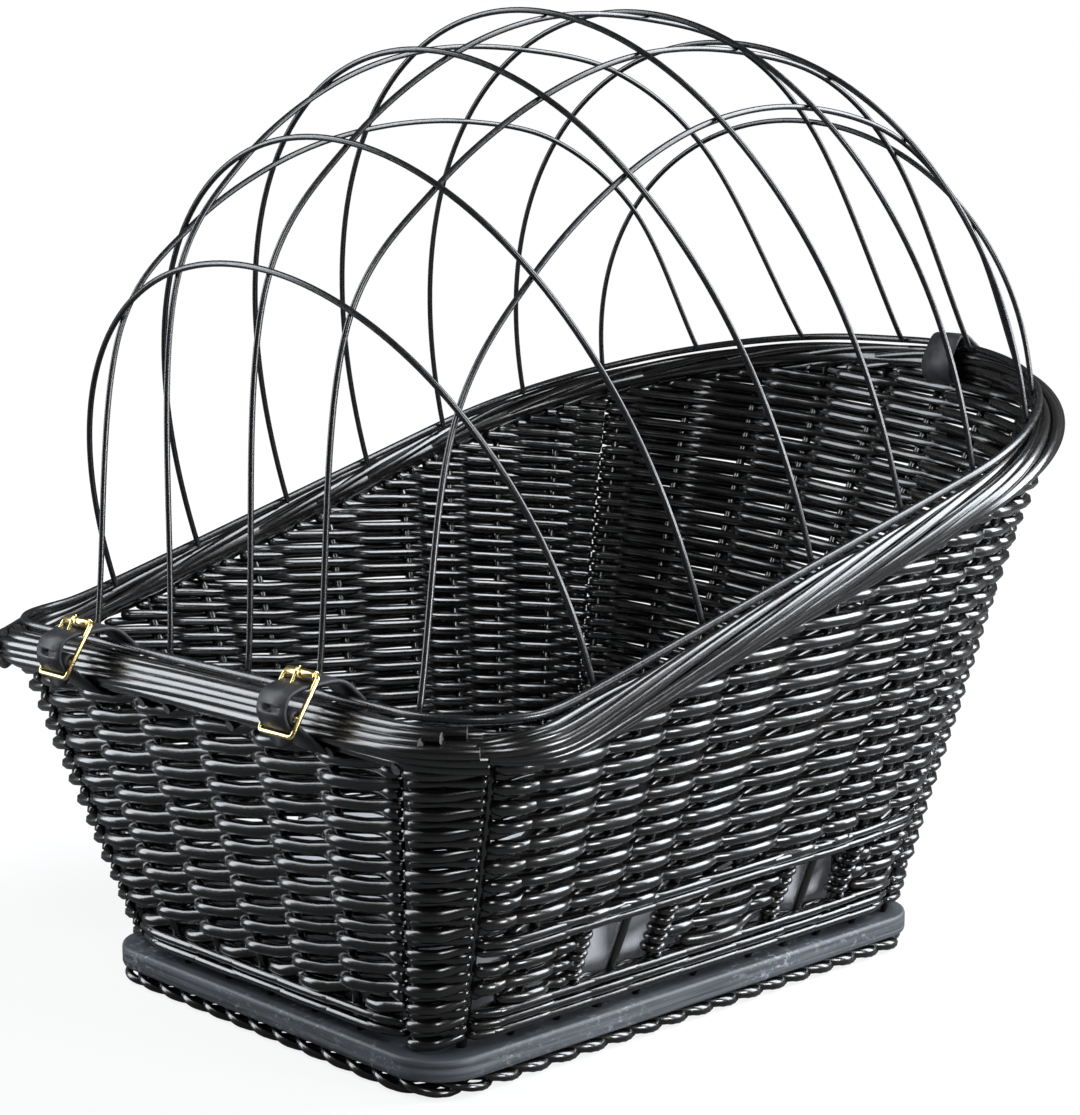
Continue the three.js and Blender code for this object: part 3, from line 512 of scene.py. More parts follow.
def weave(knots, first, last, lower, upper, climb, radius, pitch=row_pitch, period=2,
          depth=weave_depth, steps=10, strokes=None, rise=None):
    """Rods woven through the stakes at the given shares, between two edges of the wall. In
    the stake count u, a rod of family p and level m stands at m * pitch + rise * (u - p) /
    period, bent so that the front part climbs only the climb share. Its depth follows the
    stroke table. Each rod is kept where it lies between the lower and the upper edge."""
    rise = pitch if rise is None else rise
    table = smooth_table(*(strokes or (stroke_ahead, stroke_depth)), period)
    counts = np.linspace(first, last, int((last - first) * 24) + 1)
    shares = np.interp(counts, np.arange(len(knots)), knots)
    low_edge = lower(shares) + radius * 0.5
    high_edge = upper(shares) - radius * 0.5
    reach = high_edge.max() - low_edge.min() + rise * (last - first) / period
    levels = np.arange(-int(reach / pitch) - 2, int(reach / pitch) + 3)
    family, level = (a.ravel() for a in np.meshgrid(np.arange(period), levels, indexing="ij"))
    jitter = noise_source.normal(0, 0.35, len(family))

    def height(u):
        t = (u - family[:, None]) / period - int(first / period)
        whole = np.floor(t)
        bent = np.interp(t - whole, [0, 0.25, 0.75, 1], [0, climb / 2, 1 - climb / 2, 1])
        base = low_edge.min() + level[:, None] * pitch + jitter[:, None]
        return base + rise * (whole + bent)

    grid_heights = height(np.broadcast_to(counts, (len(family), len(counts))))
    inside = (grid_heights > low_edge) & (grid_heights < high_edge)
    keep = inside.sum(1) > 8
    start = counts[inside.argmax(1)]
    end = counts[len(counts) - 1 - inside[:, ::-1].argmax(1)]
    longest = (end - start)[keep].max()
    family, level, jitter, start, end = (a[keep] for a in (family, level, jitter, start, end))
    samples = int(longest * steps) + 4
    u = start[:, None] + (end - start)[:, None] * np.linspace(0, 1, samples)
    share = np.interp(u, np.arange(len(knots)), knots)
    offset = np.interp(np.mod(u - family[:, None], period), *table, period=period) * depth
    ends = np.minimum(u - start[:, None], end[:, None] - u)
    near_end = np.clip(1 - ends / 0.5, 0, 1)
    offset = offset * (1 - 0.7 * near_end) - 1.6 * near_end ** 2
    line = wall_point(share, height(u), offset)
    size = noise_source.normal(1.0, 0.06, len(u))[:, None] * np.linspace(1.06, 0.94, samples)
    return rods(line, radius * np.clip(size, 0.82, 1.15), wall_out(share), 7)


wale_strokes = (np.array([0.0, 0.5, 1.0, 1.5, 2.0, 2.3, 2.6, 3.0]),
                np.array([0.3, 1.0, 1.05, 1.0, 0.3, -0.9, -1.0, 0.3]))
round_height = 5.4


def waling(knots, first, last, base, rounds):
    """A band of finer level rods, each in front of two stakes and behind the third."""
    return weave(knots, first, last, level_at(base), level_at(base + rounds * round_height + 0.5),
                 -0.1, 2.35, 3 * 1.85, period=3, depth=4.2, strokes=wale_strokes, rise=0.001)


def stakes(shares, low, high, radius=stake_radius, outward=0.0):
    """Upright stakes on the wall's straight lines, between two heights."""
    share = np.repeat(np.asarray(shares)[:, None], 14, 1)
    height = np.linspace(low, high, 14, axis=1)
    return rods(wall_point(share, height, outward), radius, wall_out(share), 8)


def merge(*parts):
    """Joins pieces to the first of them."""
    with bpy.context.temp_override(active_object=parts[0], selected_editable_objects=parts):
        bpy.ops.object.join()
    return parts[0]


def joined_skin(name, grids, finishes=(willow_finish,), cut_ends=False):
    """One piece from several sets of rods."""
    piece = merge(*[skin(f"{name}_{i}", grid, finishes=finishes, cut_ends=cut_ends)
                    for i, grid in enumerate(grids)])
    piece.name = piece.data.name = name
    return piece


window_sill, window_head, waled_head = board_top + 23.5, board_top + 52.5, board_top + 57.0
near_stake_x = np.array([57.0, 87.0, 114.0, 141.0, 182.0, 224.0, 251.0, 278.0, 308.0])
side_share = lambda x: low_corner_shares[1] + (x - 29.5) / wall_path.length
high_shares = np.array([0.3885, 0.4164, 0.4443, 0.4721, 0.5])
half_knots = np.concatenate([[low_corner_shares[1]], side_share(near_stake_x), high_shares])
knots = np.concatenate([half_knots, 1 - half_knots[-2::-1]])
knot_count = len(knots) - 1
seam_knot = np.interp(seam_share, knots, np.arange(len(knots)))
above_foot, under_border = level_at(board_top + 22.0), lambda share: wall_top(share) + 5.0
stroke_gap, foot_waling, stake_sunk, stake_over = 0.01, board_top + 0.8, 2.0, 4.0


def post_wraps(shares):
    """Rods wound round a window's side posts: centre + radius * (cos, sin) with a steady climb."""
    turns, steps = 6.0, 84
    angle = np.linspace(0, 2 * np.pi * turns, steps)[None, :]
    share = np.repeat(np.asarray(shares)[:, None], steps, 1)
    height = window_sill - 1 + (window_head - window_sill + 2) * np.tile(angle / angle.max(), (len(share), 1))
    out = wall_out(share)
    along = unit(np.cross(z_axis, out))
    radial = np.cos(angle)[..., None] * out + np.sin(angle)[..., None] * along
    return rods(wall_point(share, height, 0.0) + (stake_radius + 1.5) * radial, 2.1, radial, 7)


def standing(shares):
    """Stakes of the wall's full height."""
    return stakes(shares, np.full(len(shares), board_top - stake_sunk), wall_top(shares) + stake_over)


def side_wall(name, node, mirrored):
    """A long wall: waling, three woven piers between the windows, waling, open weave above."""
    turn = (lambda u: knot_count - u) if mirrored else (lambda u: u)
    look = (0.5, 2.85, 8.0) if mirrored else (-0.05, 3.45, 10.0)
    strokes = None if mirrored else even_strokes

    def span(a, b):
        return tuple(sorted((turn(a), turn(b))))

    whole_wall = span(stroke_gap, seam_knot)
    grids = [waling(knots, *whole_wall, foot_waling, 4),
             weave(knots, *whole_wall, level_at(waled_head), under_border, *look, strokes=strokes),
             waling(knots, *whole_wall, window_head - 1.0, 2)]
    for a, b in ((stroke_gap, 2.0), (4.0, 6.0), (8.0, seam_knot)):
        grids.append(weave(knots, *span(a, b), above_foot, level_at(window_head + 1.0), *look,
                           strokes=strokes))
    wall_stakes = knots[turn(np.array([1, 2, 4, 5, 6, 8, 9]))]
    over_windows = knots[turn(np.array([3, 7]))]
    grids.append(standing(wall_stakes))
    grids.append(stakes(over_windows, np.full(2, window_head + 10), wall_top(over_windows) + stake_over))
    grids.append(post_wraps(knots[turn(np.array([2, 4, 6, 8]))]))
    wall = joined_skin(name, grids)
    put(wall, "basket", node)


side_wall("near_weave", "woven_wall_near", False)
side_wall("far_weave", "woven_wall_far", True)

high_span = (seam_knot, knot_count - seam_knot)
high_wall = joined_skin("high_end_weave", [
    waling(knots, *high_span, foot_waling, 4),
    weave(knots, *high_span, above_foot, under_border, climb=0.5, radius=3.05, pitch=8.0),
    standing(knots[10:knot_count - 9]),
])
put(high_wall, "basket", "woven_wall_high_end")

low_knots = np.linspace(-low_corner_shares[0], low_corner_shares[0], 7)
low_span = (0.05, 5.95)
low_wall = joined_skin("low_end_weave", [
    waling(low_knots, *low_span, foot_waling, 3),
    weave(low_knots, *low_span, level_at(board_top + 16.0), under_border, climb=0.2, radius=3.6, pitch=10.4),
    standing(low_knots[1:-1]),
])
put(low_wall, "basket", "woven_wall_low_end")


# LOW CORNERS
# At each low corner two thick stakes stand side by side, with a narrow woven strip between
# them whose short rods cross in pairs.
corner_post_radius, corner_post_inset, window_post_radius = 2.8, 4.0, 2.5


def corner(side, start):
    strip_knots = np.array([start, start + low_corner_shares[1] - low_corner_shares[0]])
    strip = weave(strip_knots, 0.05, 0.95, level_at(board_top + 1.0), under_border, climb=0.4,
                  radius=3.1, depth=3.4, steps=26)
    panel = skin(f"{side}_corner_weave", strip, finishes=[willow_finish])
    put(panel, "basket", f"woven_corner_{side}")


corner("near", low_corner_shares[0])
corner("far", 1 - low_corner_shares[1])

for side, mirror in (("near", lambda s: s), ("far", lambda s: 1 - s)):
    for i, share in enumerate(low_corner_shares):
        at = mirror(np.array([share]))
        post = skin(f"{side}_corner_stake_{i + 1}", finishes=[willow_finish], grid=stakes(
            at, [board_bottom + 0.5], wall_top(at) + 2, corner_post_radius, -corner_post_inset))
        put(post, "basket", f"corner_stake_{side}_{i + 1}")
    for name, x, lean in (("low", 114.0, 1.0), ("high", 251.0, 6.0)):
        at = mirror(np.array([side_share(x)]))
        low_end = wall_point(at, np.array([board_bottom + 0.6]), 0.0)
        high_end = wall_point(at, np.array([window_head + 12.0]), 0.0)
        low_end[:, 0], high_end[:, 0] = x, x + lean
        line = low_end + (high_end - low_end) * column(12)
        post = skin(f"{side}_window_stake_{name}", finishes=[willow_finish],
                    grid=rods(line[None], window_post_radius, wall_out(at)))
        put(post, "basket", f"window_stake_{side}_{name}")


# RIM BORDER
# The stakes are bent over at the top and laid along the rim in turn. Each comes up outside,
# crosses slowly over the top and ends inside. Those of the low end lie side by side, and those
# of the far side stick out past their corner.
laid_half_sizes = (8.5, 6.9)


def laid(first, last, begin, end, from_angle, to_angle, butt, tip, seed, gather=0.0):
    """Rods laid along the rim. A rod's whole course runs from first to last, of which only begin
    to end is made. It turns evenly from one angle to the other about the border's middle, where 0
    is outwards and a quarter turn is up. Its radius runs from butt to tip, and a gather of 1 draws
    its start in to the middle."""
    dice = np.random.default_rng(seed)
    share = np.linspace(begin, end, 150).T
    t = (share - first[:, None]) / (last - first)[:, None]
    waver = dice.uniform(0, 6.3, (len(first), 1))
    angle = np.radians(from_angle + (to_angle - from_angle) * t) + 0.10 * np.sin(40 * share + waver)
    from_start = np.clip((share - begin[:, None]) / 0.035, 0, 1)
    drawn_in = 1 - gather * (1 - from_start) ** 2
    sunk = 1 - 0.55 * np.clip((t - 0.86) / 0.14, 0, 1) ** 2
    swell = 1 + 0.07 * np.sin(23 * share + 2 * waver) + 0.05 * dice.normal(size=(len(first), 1))
    across, upward = (half * wave * drawn_in * sunk * swell
                      for half, wave in zip(laid_half_sizes, (np.cos(angle), np.sin(angle))))
    line = rim_point(share, rim_offset + across, rim_drop - upward)
    facing = raised(rim_path(share)[1] * np.cos(angle)[..., None], np.sin(angle))
    size = butt + (tip - butt) * t + dice.uniform(-0.2, 0.2, (len(first), 1))
    return line, size, facing


side_count, side_course = 31, 0.235
fan_start, far_corner = 0.110, 0.886
side_first = np.linspace(fan_start - 0.19, 0.872, side_count)
side_first += np.random.default_rng(3).uniform(-0.008, 0.008, side_count)
side_line, side_size, side_facing = laid(
    side_first, side_first + side_course, np.maximum(side_first, fan_start),
    np.minimum(side_first + side_course, far_corner), -115.0, 150.0, 3.15, 2.2, 5, gather=0.75)
stops_short = side_first + side_course > far_corner
tail_share = 0.72 + 0.28 * np.random.default_rng(4).random(side_count)
tail_reach = np.linspace(5, 33, 5) * np.where(stops_short, tail_share, 0.01)[:, None]
tail = side_line[:, -1:] + unit(side_line[:, -1:] - side_line[:, -4:-3]) * tail_reach[..., None]
side_line = np.concatenate([side_line, tail], 1)
side_size = np.pad(side_size, ((0, 0), (0, 5)), "edge")
side_facing = np.pad(side_facing, ((0, 0), (0, 5), (0, 0)), "edge")
side_rods = rods(side_line, side_size, side_facing, 10, round_ends=False)

low_count = 10
low_first = np.full(low_count, -0.108) + 0.004 * np.random.default_rng(6).random(low_count)
low_angles = np.linspace(-110, 165, low_count)
low_rods = []
for first, low_angle in zip(low_first, low_angles):
    low_line, low_size, low_facing = laid(
        np.array([first]), np.array([0.300]), np.array([first]),
        np.array([0.1 + 0.02 * noise_source.random()]), low_angle - 45, low_angle + 75, 3.3, 2.5,
        int(1000 + low_angle))
    low_rods.append(rods(low_line, low_size, low_facing, 10, round_ends=False))

core_radius, stub_radius = 5.4, 2.7
core_line = rim_point(np.linspace(0, 1, 300, endpoint=False)[None, :], rim_offset, rim_drop)
core = skin("border_core", rods(core_line, core_radius, z_axis, 12, closed=True), closed_along=True,
            finishes=[willow_finish, cut_finish])

stub_places = np.array([0.0405, 0.0200, -0.0115, -0.0245, 0.0655, 0.0930])
stub_root = rim_point(stub_places, 2.0, rim_drop + 7.0)
stub_end = rim_point(stub_places, 9.5, rim_drop + 10.0)
stub_line = stub_root[:, None] + (stub_end - stub_root)[:, None] * column(4)
stubs = rods(stub_line, stub_radius, z_axis, 10, round_ends=False)
border = merge(joined_skin("rolled_border", [side_rods, stubs] + low_rods, cut_ends=True,
                           finishes=[willow_finish, cut_finish]), core)
put(border, "basket", "rim_border")


# CAGE
# Black enamelled wire: a rim wire that follows the border, seven cross wires that arch over
# the basket and five long wires that pass under them, welded where they cross.
enamel = Finish("black_enamel", Specular_IOR_Level=0.7)
enamel_noise = enamel.noise(enamel.place(), 420.0, 3.0, 0.6)
enamel_finish = enamel.surface((0.006, 0.006, 0.007, 1), enamel_noise.band(0.3, 0.7, 0.22, 0.34),
                               enamel_noise, 0.0001, 0.1)
wire_radius, rim_wire_radius, weld_gap = 1.5, 2.0, 0.3
wire_offset = -(rim_wire_radius + wire_radius + weld_gap)


def share_at_x(wanted):
    """The shares along the near half of the rim at which x has these values."""
    near_half = np.linspace(0.06, 0.499, 3000)
    return np.interp(wanted, rim_path(near_half)[0][:, 0], near_half)


def cage_piece(name, node, grid, closed=False):
    wire = skin(name, grid, closed_along=closed, finishes=[enamel_finish])
    put(wire, "cage", node)


ring_line = rim_point(np.linspace(0, 1, 480, endpoint=False)[None, :], 0.0, 0.0)
ring_grid = rods(ring_line, rim_wire_radius, z_axis, 10, closed=True)
cage_piece("rim_wire", "cage_rim_wire", ring_grid, closed=True)

foot_shares = np.array([0.145, 0.267, 0.403, 0.527, 0.643, 0.771, 0.856])
arch_heights = np.array([179.0, 220.0, 243.0, 247.0, 233.0, 202.0, 149.0])
arch_leans = np.array([57.0, 73.0, 79.0, 75.0, 57.0, 45.0, 21.0])
arch_skews = np.array([3.0, -8.0, -16.0, -19.0, -13.0, -21.0, -11.0])
near_x = rim_low_x + foot_shares * (rim_high_x - rim_low_x) - arch_skews / 2
near_feet = rim_point(share_at_x(near_x), wire_offset, 0.0)
far_feet = rim_point(1 - share_at_x(near_x + arch_skews), wire_offset, 0.0)
arch_lifts = np.stack([-arch_leans, np.zeros(7), arch_heights], -1)


def arches(across):
    """Points of the seven arches at places from -1, the near foot, to 1, the far foot: the
    line between the feet, raised and leant by (1 - across ** 2) ** (1 / 2.09)."""
    across = np.clip(across, -1.0, 1.0)
    rise = (1 - across ** 2) ** (1 / 2.09)
    part = ((across + 1) / 2)[..., None]
    base = near_feet[:, None] + (far_feet - near_feet)[:, None] * part
    return base + arch_lifts[:, None] * rise[..., None]


arch_lines = arches(-np.cos(np.linspace(0, np.pi, 90)))
wire_ends = 1.6 * z_axis
arch_lines = np.concatenate([arch_lines[:, :1] - wire_ends, arch_lines, arch_lines[:, -1:] - wire_ends], 1)
arch_facing = unit(np.cross(far_feet - near_feet, arch_lifts))[:, None]
for i, wire_grid in enumerate(rods(arch_lines, wire_radius, arch_facing, 10)):
    cage_piece(f"cross_wire_piece_{i + 1}", f"cross_wire_{i + 1}", wire_grid[None])


def through(points, samples):
    """A smooth line through points (n, 3): a cubic between each two, whose slopes at both
    ends are those of its neighbours, weighted by the root of the spacing."""
    spacing = np.sqrt(np.linalg.norm(np.diff(points, axis=0), axis=1))
    times = np.concatenate([[0], np.cumsum(spacing)])
    slopes = np.gradient(points, times, axis=0)
    at = np.linspace(0, times[-1], samples)
    span = np.clip(np.searchsorted(times, at, "right") - 1, 0, len(spacing) - 1)
    width = spacing[span]
    t = ((at - times[span]) / width)[:, None]
    h = width[:, None]
    start, end = points[span], points[span + 1]
    return ((2 * t ** 3 - 3 * t ** 2 + 1) * start + (t ** 3 - 2 * t ** 2 + t) * h * slopes[span]
            + (3 * t ** 2 - 2 * t ** 3) * end + (t ** 3 - t ** 2) * h * slopes[span + 1])


def end_share(y, high):
    """The share of the rim at a place across its low end or its high end."""
    shares = np.linspace(0.499, 0.3, 2000) if high else np.linspace(0, 0.2, 2000)
    near = np.interp(abs(y), -rim_path(shares)[0][:, 1], shares)
    return near if y < 0 else 1 - near


long_table = ((96, 123, 12), (33, 60, 18), (-29, -14, -6), (-81, -72, -8), (-150, -130, 14))
for i, (low_y, high_y, bow) in enumerate(long_table):
    end_shares = np.array([end_share(low_y, False), end_share(high_y, True)])
    start, end = rim_point(end_shares, wire_offset, 0.0)
    along = np.arange(1, 8) / 8
    target = start[1] + (end[1] - start[1]) * along + 4 * bow * along * (1 - along)
    across = 2 * (target - near_feet[:, 1]) / (far_feet[:, 1] - near_feet[:, 1]) - 1
    crossing = arches(across[:, None])[:, 0]
    tangent = (arches(across[:, None] + 0.01) - arches(across[:, None] - 0.01))[:, 0]
    chain = np.vstack([start, crossing, end])
    inward = unit(np.cross(tangent, chain[2:] - chain[:-2]))
    inward *= -np.sign(inward[:, 2:])
    inner = crossing + inward * (2 * wire_radius - 0.1)
    line = through(np.vstack([start, inner, end]), 150)
    line = np.concatenate([line[:1] - wire_ends, line, line[-1:] - wire_ends])
    cage_piece(f"long_wire_piece_{i + 1}", f"long_wire_{i + 1}", rods(line[None], wire_radius, y_axis, 10))


# LEATHER
# Black strap leather with a fine grain: two straps at the low end, each folded round its
# buckle's heel bar, with its tail behind the keeper bar, and one loop at the high end that is
# the cage's hinge.
leather = Finish("black_leather", Roughness=0.5, Specular_IOR_Level=0.45)
hide, crease_grey, worn_grey = (0.012, 0.012, 0.014, 1), (0.028, 0.029, 0.033, 1), (0.055, 0.057, 0.064, 1)
leather_place = leather.place()
pores = leather.noise(leather_place, 1500.0, 4.0, 0.6)
creases = leather.noise(leather_place, 240.0, 3.0, 0.55)
leather_wear = leather.noise(leather_place, 90.0, 2.0, 0.5).band(0.5, 0.75)
leather_colour = leather.blend(creases.band(0.35, 0.7), hide, crease_grey)
leather_colour = leather.blend(leather_wear * 0.4, leather_colour, worn_grey)
leather_finish = leather.surface(leather_colour, creases.band(0.3, 0.7, 0.38, 0.58),
                                 pores * 0.6 + creases, 0.0004, 0.6)
strap_width, strap_thickness = 20.0, 2.4
bar_radius, prong_radius, roller_radius = 1.25, 0.9, 2.5
roller_at, heel_at, keeper_at = np.array([[15.0, 12.0], [26.0, -5.0], [30.0, -12.5]])
play = 0.3
fold_radius = bar_radius + play + strap_thickness / 2
rim_level = rim_height(np.array([rim_low_x]))[0]
strap_places = (("far", 83.5), ("near", -93.5))


def at_low_rim(points, y):
    """Points (reach, up) in a strap's plane, as places on the basket; reach is outwards."""
    y = np.broadcast_to(y, points.shape[:-1])
    return np.stack([rim_low_x - points[..., 0], y, rim_level + points[..., 1]], -1)


def turn_about(centre, across, up, start, end, count):
    angle = np.radians(np.linspace(start, end, count))
    return np.asarray(centre) + np.stack([across * np.cos(angle), up * np.sin(angle)], -1)


round_border, strap_out = (13.5, 11.5), heel_at[0] + fold_radius + strap_thickness + 0.6
under_roller = roller_at[1] - roller_radius - play - strap_thickness / 2
strap_points = np.concatenate([
    turn_about(heel_at, fold_radius, fold_radius, 165, -75, 10),
    turn_about((rim_offset, -rim_drop), *round_border, -35, -150, 7),
    np.array([[rim_offset - round_border[0] - 0.3, -12.0], [-round_border[0], -5.0], [-8.0, 2.0],
              [0.0, under_roller - 0.3], [roller_at[0], under_roller],
              [(roller_at[0] + strap_out) / 2, under_roller - 0.6], [strap_out - 2.4, 5.0],
              [strap_out + 0.3, -1.0], [strap_out, -5.0]]),
    turn_about(keeper_at, fold_radius, fold_radius, 115, 180, 5),
    np.array([[keeper_at[0] - fold_radius, -19.0]]),
])


def band(line, half_widths, across, normals):
    """A leather band along a line (n, 3): a rounded rectangle at each step, with its half width
    along the vectors across and its thickness along the normals."""
    turn = np.radians(np.arange(0, 360, 30))
    half = strap_thickness / 2
    shift = np.where(np.abs(np.cos(turn)) > 0.1, np.sign(np.cos(turn)), 0)
    sideways = shift * (np.reshape(half_widths, (-1, 1)) - half) + half * np.cos(turn)
    return (line[:, None] + sideways[..., None] * across[..., None, :]
            + (half * np.sin(turn))[:, None] * normals[:, None])


strap_flat = through(strap_points @ np.eye(2, 3), 150)[:, :2]
strap_ahead = unit(np.gradient(strap_flat, axis=0))
strap_normals = np.stack([strap_ahead[:, 1], np.zeros(150), strap_ahead[:, 0]], -1)
to_tip = np.append(np.linalg.norm(np.diff(strap_flat, axis=0), axis=1)[::-1].cumsum()[::-1], 0.0)
tip = np.clip(to_tip / (strap_width / 2), 0, 1)
half_widths = np.maximum(strap_width / 2 * np.sqrt(1 - (1 - tip) ** 2), 1.4)
for side, y in strap_places:
    grid = band(at_low_rim(strap_flat, y), half_widths, y_axis, strap_normals)
    strap = skin(f"strap_{side}_leather", grid[None], finishes=[leather_finish])
    hole_at = at_low_rim(np.array([[strap_out + 6, -1.0], [strap_out - 2.5, -1.0]]), y)
    punch = skin(f"punch_{side}", rods(hole_at[None], 1.7, y_axis, 16, round_ends=False))
    bore = strap.modifiers.new("hole", "BOOLEAN")
    bore.object = punch
    bore.solver = "EXACT"
    with bpy.context.temp_override(object=strap, active_object=strap):
        bpy.ops.object.modifier_apply(modifier="hole")
    bpy.data.objects.remove(punch)
    put(strap, "basket", f"strap_{side}")

# The hinge's loop is drawn tight round the border and the rim wire. In each direction it lies on
# the farther of the two: reach * direction + the rate of reach * the tangent.
hinge_width, hinge_y = 24.0, -50.0
round_loop_border, round_wire = (13.3, 11.6), 4.4
loop_steps = 96
support = circle(loop_steps)
inner_border = support * round_loop_border + (rim_offset, -rim_drop)
reach = np.maximum((inner_border @ support.T).max(0), (round_wire * support @ support.T).max(0))
tangents = support[:, ::-1] * (-1, 1)
loop_flat = (support * (reach + strap_thickness / 2)[:, None]
             + tangents * np.gradient(reach, 2 * np.pi / loop_steps)[:, None])
loop_share = np.full(loop_steps, end_share(hinge_y, True))
loop_line = rim_point(loop_share, loop_flat[:, 0], -loop_flat[:, 1])
loop_out = rim_path(loop_share)[1]
loop_normal = raised(loop_out * support[:, :1], support[:, 1])
loop_across = raised(loop_out[:, ::-1] * (-1, 1), 0.0)
loop_grid = band(loop_line, hinge_width / 2, loop_across, -loop_normal)
hinge = skin("hinge_loop_leather", loop_grid[None], closed_along=True, finishes=[leather_finish])
put(hinge, "basket", "hinge_loop")


# BUCKLES
# Yellow brass roller buckles. The frame is one round bar bent to a loop, with a loose roller on
# its top bar, a heel bar across its middle that carries the prong, and a keeper bar at its foot.
brass = Finish("yellow_brass", Metallic=1.0)
bright_brass, dull_brass = (0.88, 0.71, 0.33, 1), (0.68, 0.51, 0.20, 1)
brass_place = brass.place()
handled = brass.noise(brass_place, 160.0, 3.0, 0.6)
brushed = brass.noise(brass.stretched(brass_place, 900, 3000, 900), 1.0, 2.0, 0.5)
brass_finish = brass.surface(brass.blend(handled.band(0.35, 0.75), bright_brass, dull_brass),
                             handled.band(0.3, 0.75, 0.14, 0.30), brushed, 0.0001, 0.2)


def brass_piece(kind, side, grid, closed=False):
    piece = skin(f"{kind}_{side}_brass", grid, closed_along=closed, finishes=[brass_finish])
    put(piece, f"{kind}_{side}", f"buckle_{kind}_{side}")


frame_half = strap_width / 2 + play + bar_radius
frame_rise = roller_at - keeper_at
frame_face = np.array([-frame_rise[1], 0.0, -frame_rise[0]])


def bent(corners, radius, count=7):
    """A closed line with rounded bends: each corner c between a and b becomes the curve
    (1 - t) ** 2 * a + 2 * t * (1 - t) * c + t ** 2 * b."""
    back = corners - unit(corners - np.roll(corners, 1, 0)) * radius
    ahead = corners + unit(np.roll(corners, -1, 0) - corners) * radius
    t = column(count)
    return np.concatenate([(1 - t) ** 2 * a + 2 * t * (1 - t) * c + t ** 2 * b
                           for a, c, b in zip(back, corners, ahead)])


roller_bore, roller_end, tube_edge, tube_y = 1.4, 2.3, 0.3, strap_width / 2
roller_profile = np.array([[roller_bore, -tube_y], [roller_end, -tube_y], [roller_radius, tube_edge - tube_y],
                           [roller_radius, tube_y - tube_edge], [roller_end, tube_y], [roller_bore, tube_y]])
curl = turn_about(heel_at, 2.35, 2.35, -200, 70, 26)
over_roller = turn_about(roller_at, 3.6, 3.6, 15, 80, 6)
shaft = through(np.concatenate([curl[-1:], over_roller]) @ np.eye(2, 3), 14)[1:, :2]
prong_flat = np.concatenate([curl, shaft])
prong_taper = np.concatenate([np.ones(len(curl)), np.linspace(1.0, 0.72, len(shaft))])
for side, y in strap_places:
    frame_corners = at_low_rim(
        np.array([roller_at, heel_at, keeper_at, keeper_at, heel_at, roller_at]), y)
    frame_corners[:, 1] += frame_half * np.array([1, 1, 1, -1, -1, -1])
    outer_bars = rods(bent(frame_corners, 2.0)[None], bar_radius, frame_face, 12, closed=True)
    heel_bar = frame_corners[4] + (frame_corners[1] - frame_corners[4]) * column(4)
    heel_bar = rods(heel_bar[None], bar_radius, frame_face, 12, round_ends=False)
    loops = skin(f"frame_{side}_brass", outer_bars, closed_along=True, finishes=[brass_finish])
    merge(loops, skin(f"heel_{side}", heel_bar, finishes=[brass_finish]))
    put(loops, "basket", f"buckle_frame_{side}")

    roller_line = at_low_rim(roller_at + roller_profile[:, None, :1] * circle(32), y)
    roller_line[..., 1] = y + roller_profile[:, 1:]
    brass_piece("roller", side, roller_line[None], closed=True)
    brass_piece("prong", side,
                rods(at_low_rim(prong_flat, y)[None], prong_radius * prong_taper, y_axis, 10))


# CUSHION
# A thick pad of pale grey woven cloth that fills the floor of the basket. Its top is crowned,
# its sides draw in between the corners, and a sewn cord edge runs round the top and the foot.
cloth = Finish("grey_cloth", Roughness=0.9, Specular_IOR_Level=0.2, Sheen_Weight=0.35)
thread_shade, thread_pale, soiled = (0.46, 0.47, 0.50, 1), (0.70, 0.71, 0.74, 1), (0.38, 0.39, 0.42, 1)
cloth_place = cloth.place()
weft, warp, lift = (cloth.node("ShaderNodeSeparateXYZ", {"Vector": cloth_place}, axis) for axis in "XYZ")
threads = ((weft + lift) * 5200.0).sine() * ((warp + lift) * 5200.0).sine()
slub = cloth.noise(cloth.stretched(cloth_place, 120, 120, 420), 1.0, 3.0, 0.6)
cloth_shade = cloth.noise(cloth_place, 16.0, 2.0, 0.5)
cloth_colour = cloth.blend(threads.band(-1, 1) * 0.5 + slub * 0.4, thread_shade, thread_pale)
cloth_colour = cloth.blend(cloth_shade.band(0.4, 0.7) * 0.25, cloth_colour, soiled)
cloth_finish = cloth.surface(cloth_colour, slub.band(0.3, 0.7, 0.82, 0.95), threads * 0.5 + slub,
                             0.0005, 0.5)

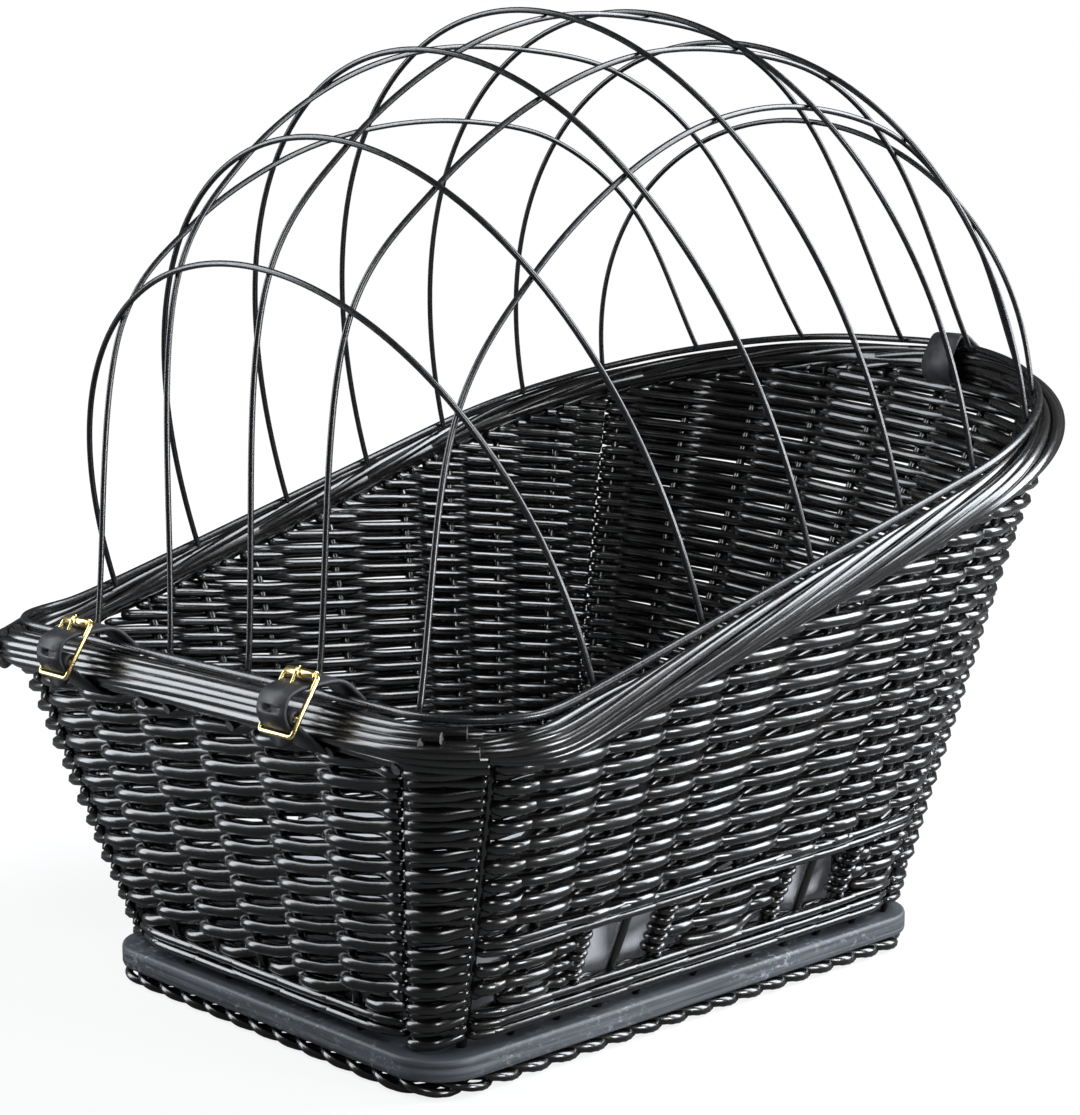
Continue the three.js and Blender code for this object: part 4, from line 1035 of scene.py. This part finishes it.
pad_base, pad_height, pad_crown = board_top + 0.6, 50.0, 7.0
pad_half = np.array([162.5, 115.5])


def pad_edge(inset, shrink=1.0, drawn=4.0):
    """A rounded rectangle: sign(c) * |c| ** 0.4 * half size, with the sides drawn in by
    c * (cos 2 a) ** 2."""
    ring = circle(220)
    flat = np.sign(ring) * np.abs(ring) ** 0.4 * (pad_half - inset)
    return (flat - ring * drawn * (2 * ring[:, :1] ** 2 - 1) ** 2) * shrink


side_levels = np.linspace(0, 1, 15)
side_bulge = 5.5 * np.sin(np.pi * side_levels) ** 0.6
pad_rings = [raised(pad_edge(9.0), pad_base)]
pad_rings += [raised(pad_edge(7.0 - bulge), pad_base + 1.5 + level * (pad_height - 4))
              for level, bulge in zip(side_levels, side_bulge)]
top_edge = pad_base + pad_height - 1.5
pad_rings += [raised(pad_edge(7.0, shrink, 4.0 * shrink), top_edge + (pad_crown + 1.0) * (1 - shrink ** 2.2))
              for shrink in (0.985, 0.96, 0.9, 0.8, 0.68, 0.54, 0.4, 0.26, 0.12)]
pad_grid = np.stack(pad_rings)
pad_angle = np.arctan2(pad_grid[..., 1], pad_grid[..., 0])
middle_height = np.clip((pad_grid[..., 2] - pad_base) / pad_height, 0, 1)
folds = 0.9 * np.sin(9 * pad_angle + 1.1) * np.sin(23 * pad_angle) * np.sin(np.pi * middle_height)
pad_grid[..., :2] *= (1 + folds / 140)[..., None]
waves = np.sin(pad_grid[..., 0] / 21) * np.sin(pad_grid[..., 1] / 17)
pad_grid[..., 2] += 0.8 * waves * (middle_height > 0.95)
pad_grid[..., 0] += board_length / 2
piping_rings, piping_radius, piping_out = pad_grid[[2, 15]], 1.5, 0.6
piping_rings += raised(unit(piping_rings[..., :2] - (board_length / 2, 0.0)) * piping_out, 0.0)
piping = rods(piping_rings, piping_radius, z_axis, 8, closed=True)
pad_body = skin("cushion_body", pad_grid[None], finishes=[cloth_finish])
merge(pad_body, skin("cushion_piping", piping, closed_along=True, finishes=[cloth_finish]))
pad_body.name = "grey_cushion"
put(pad_body, "basket", "cushion")
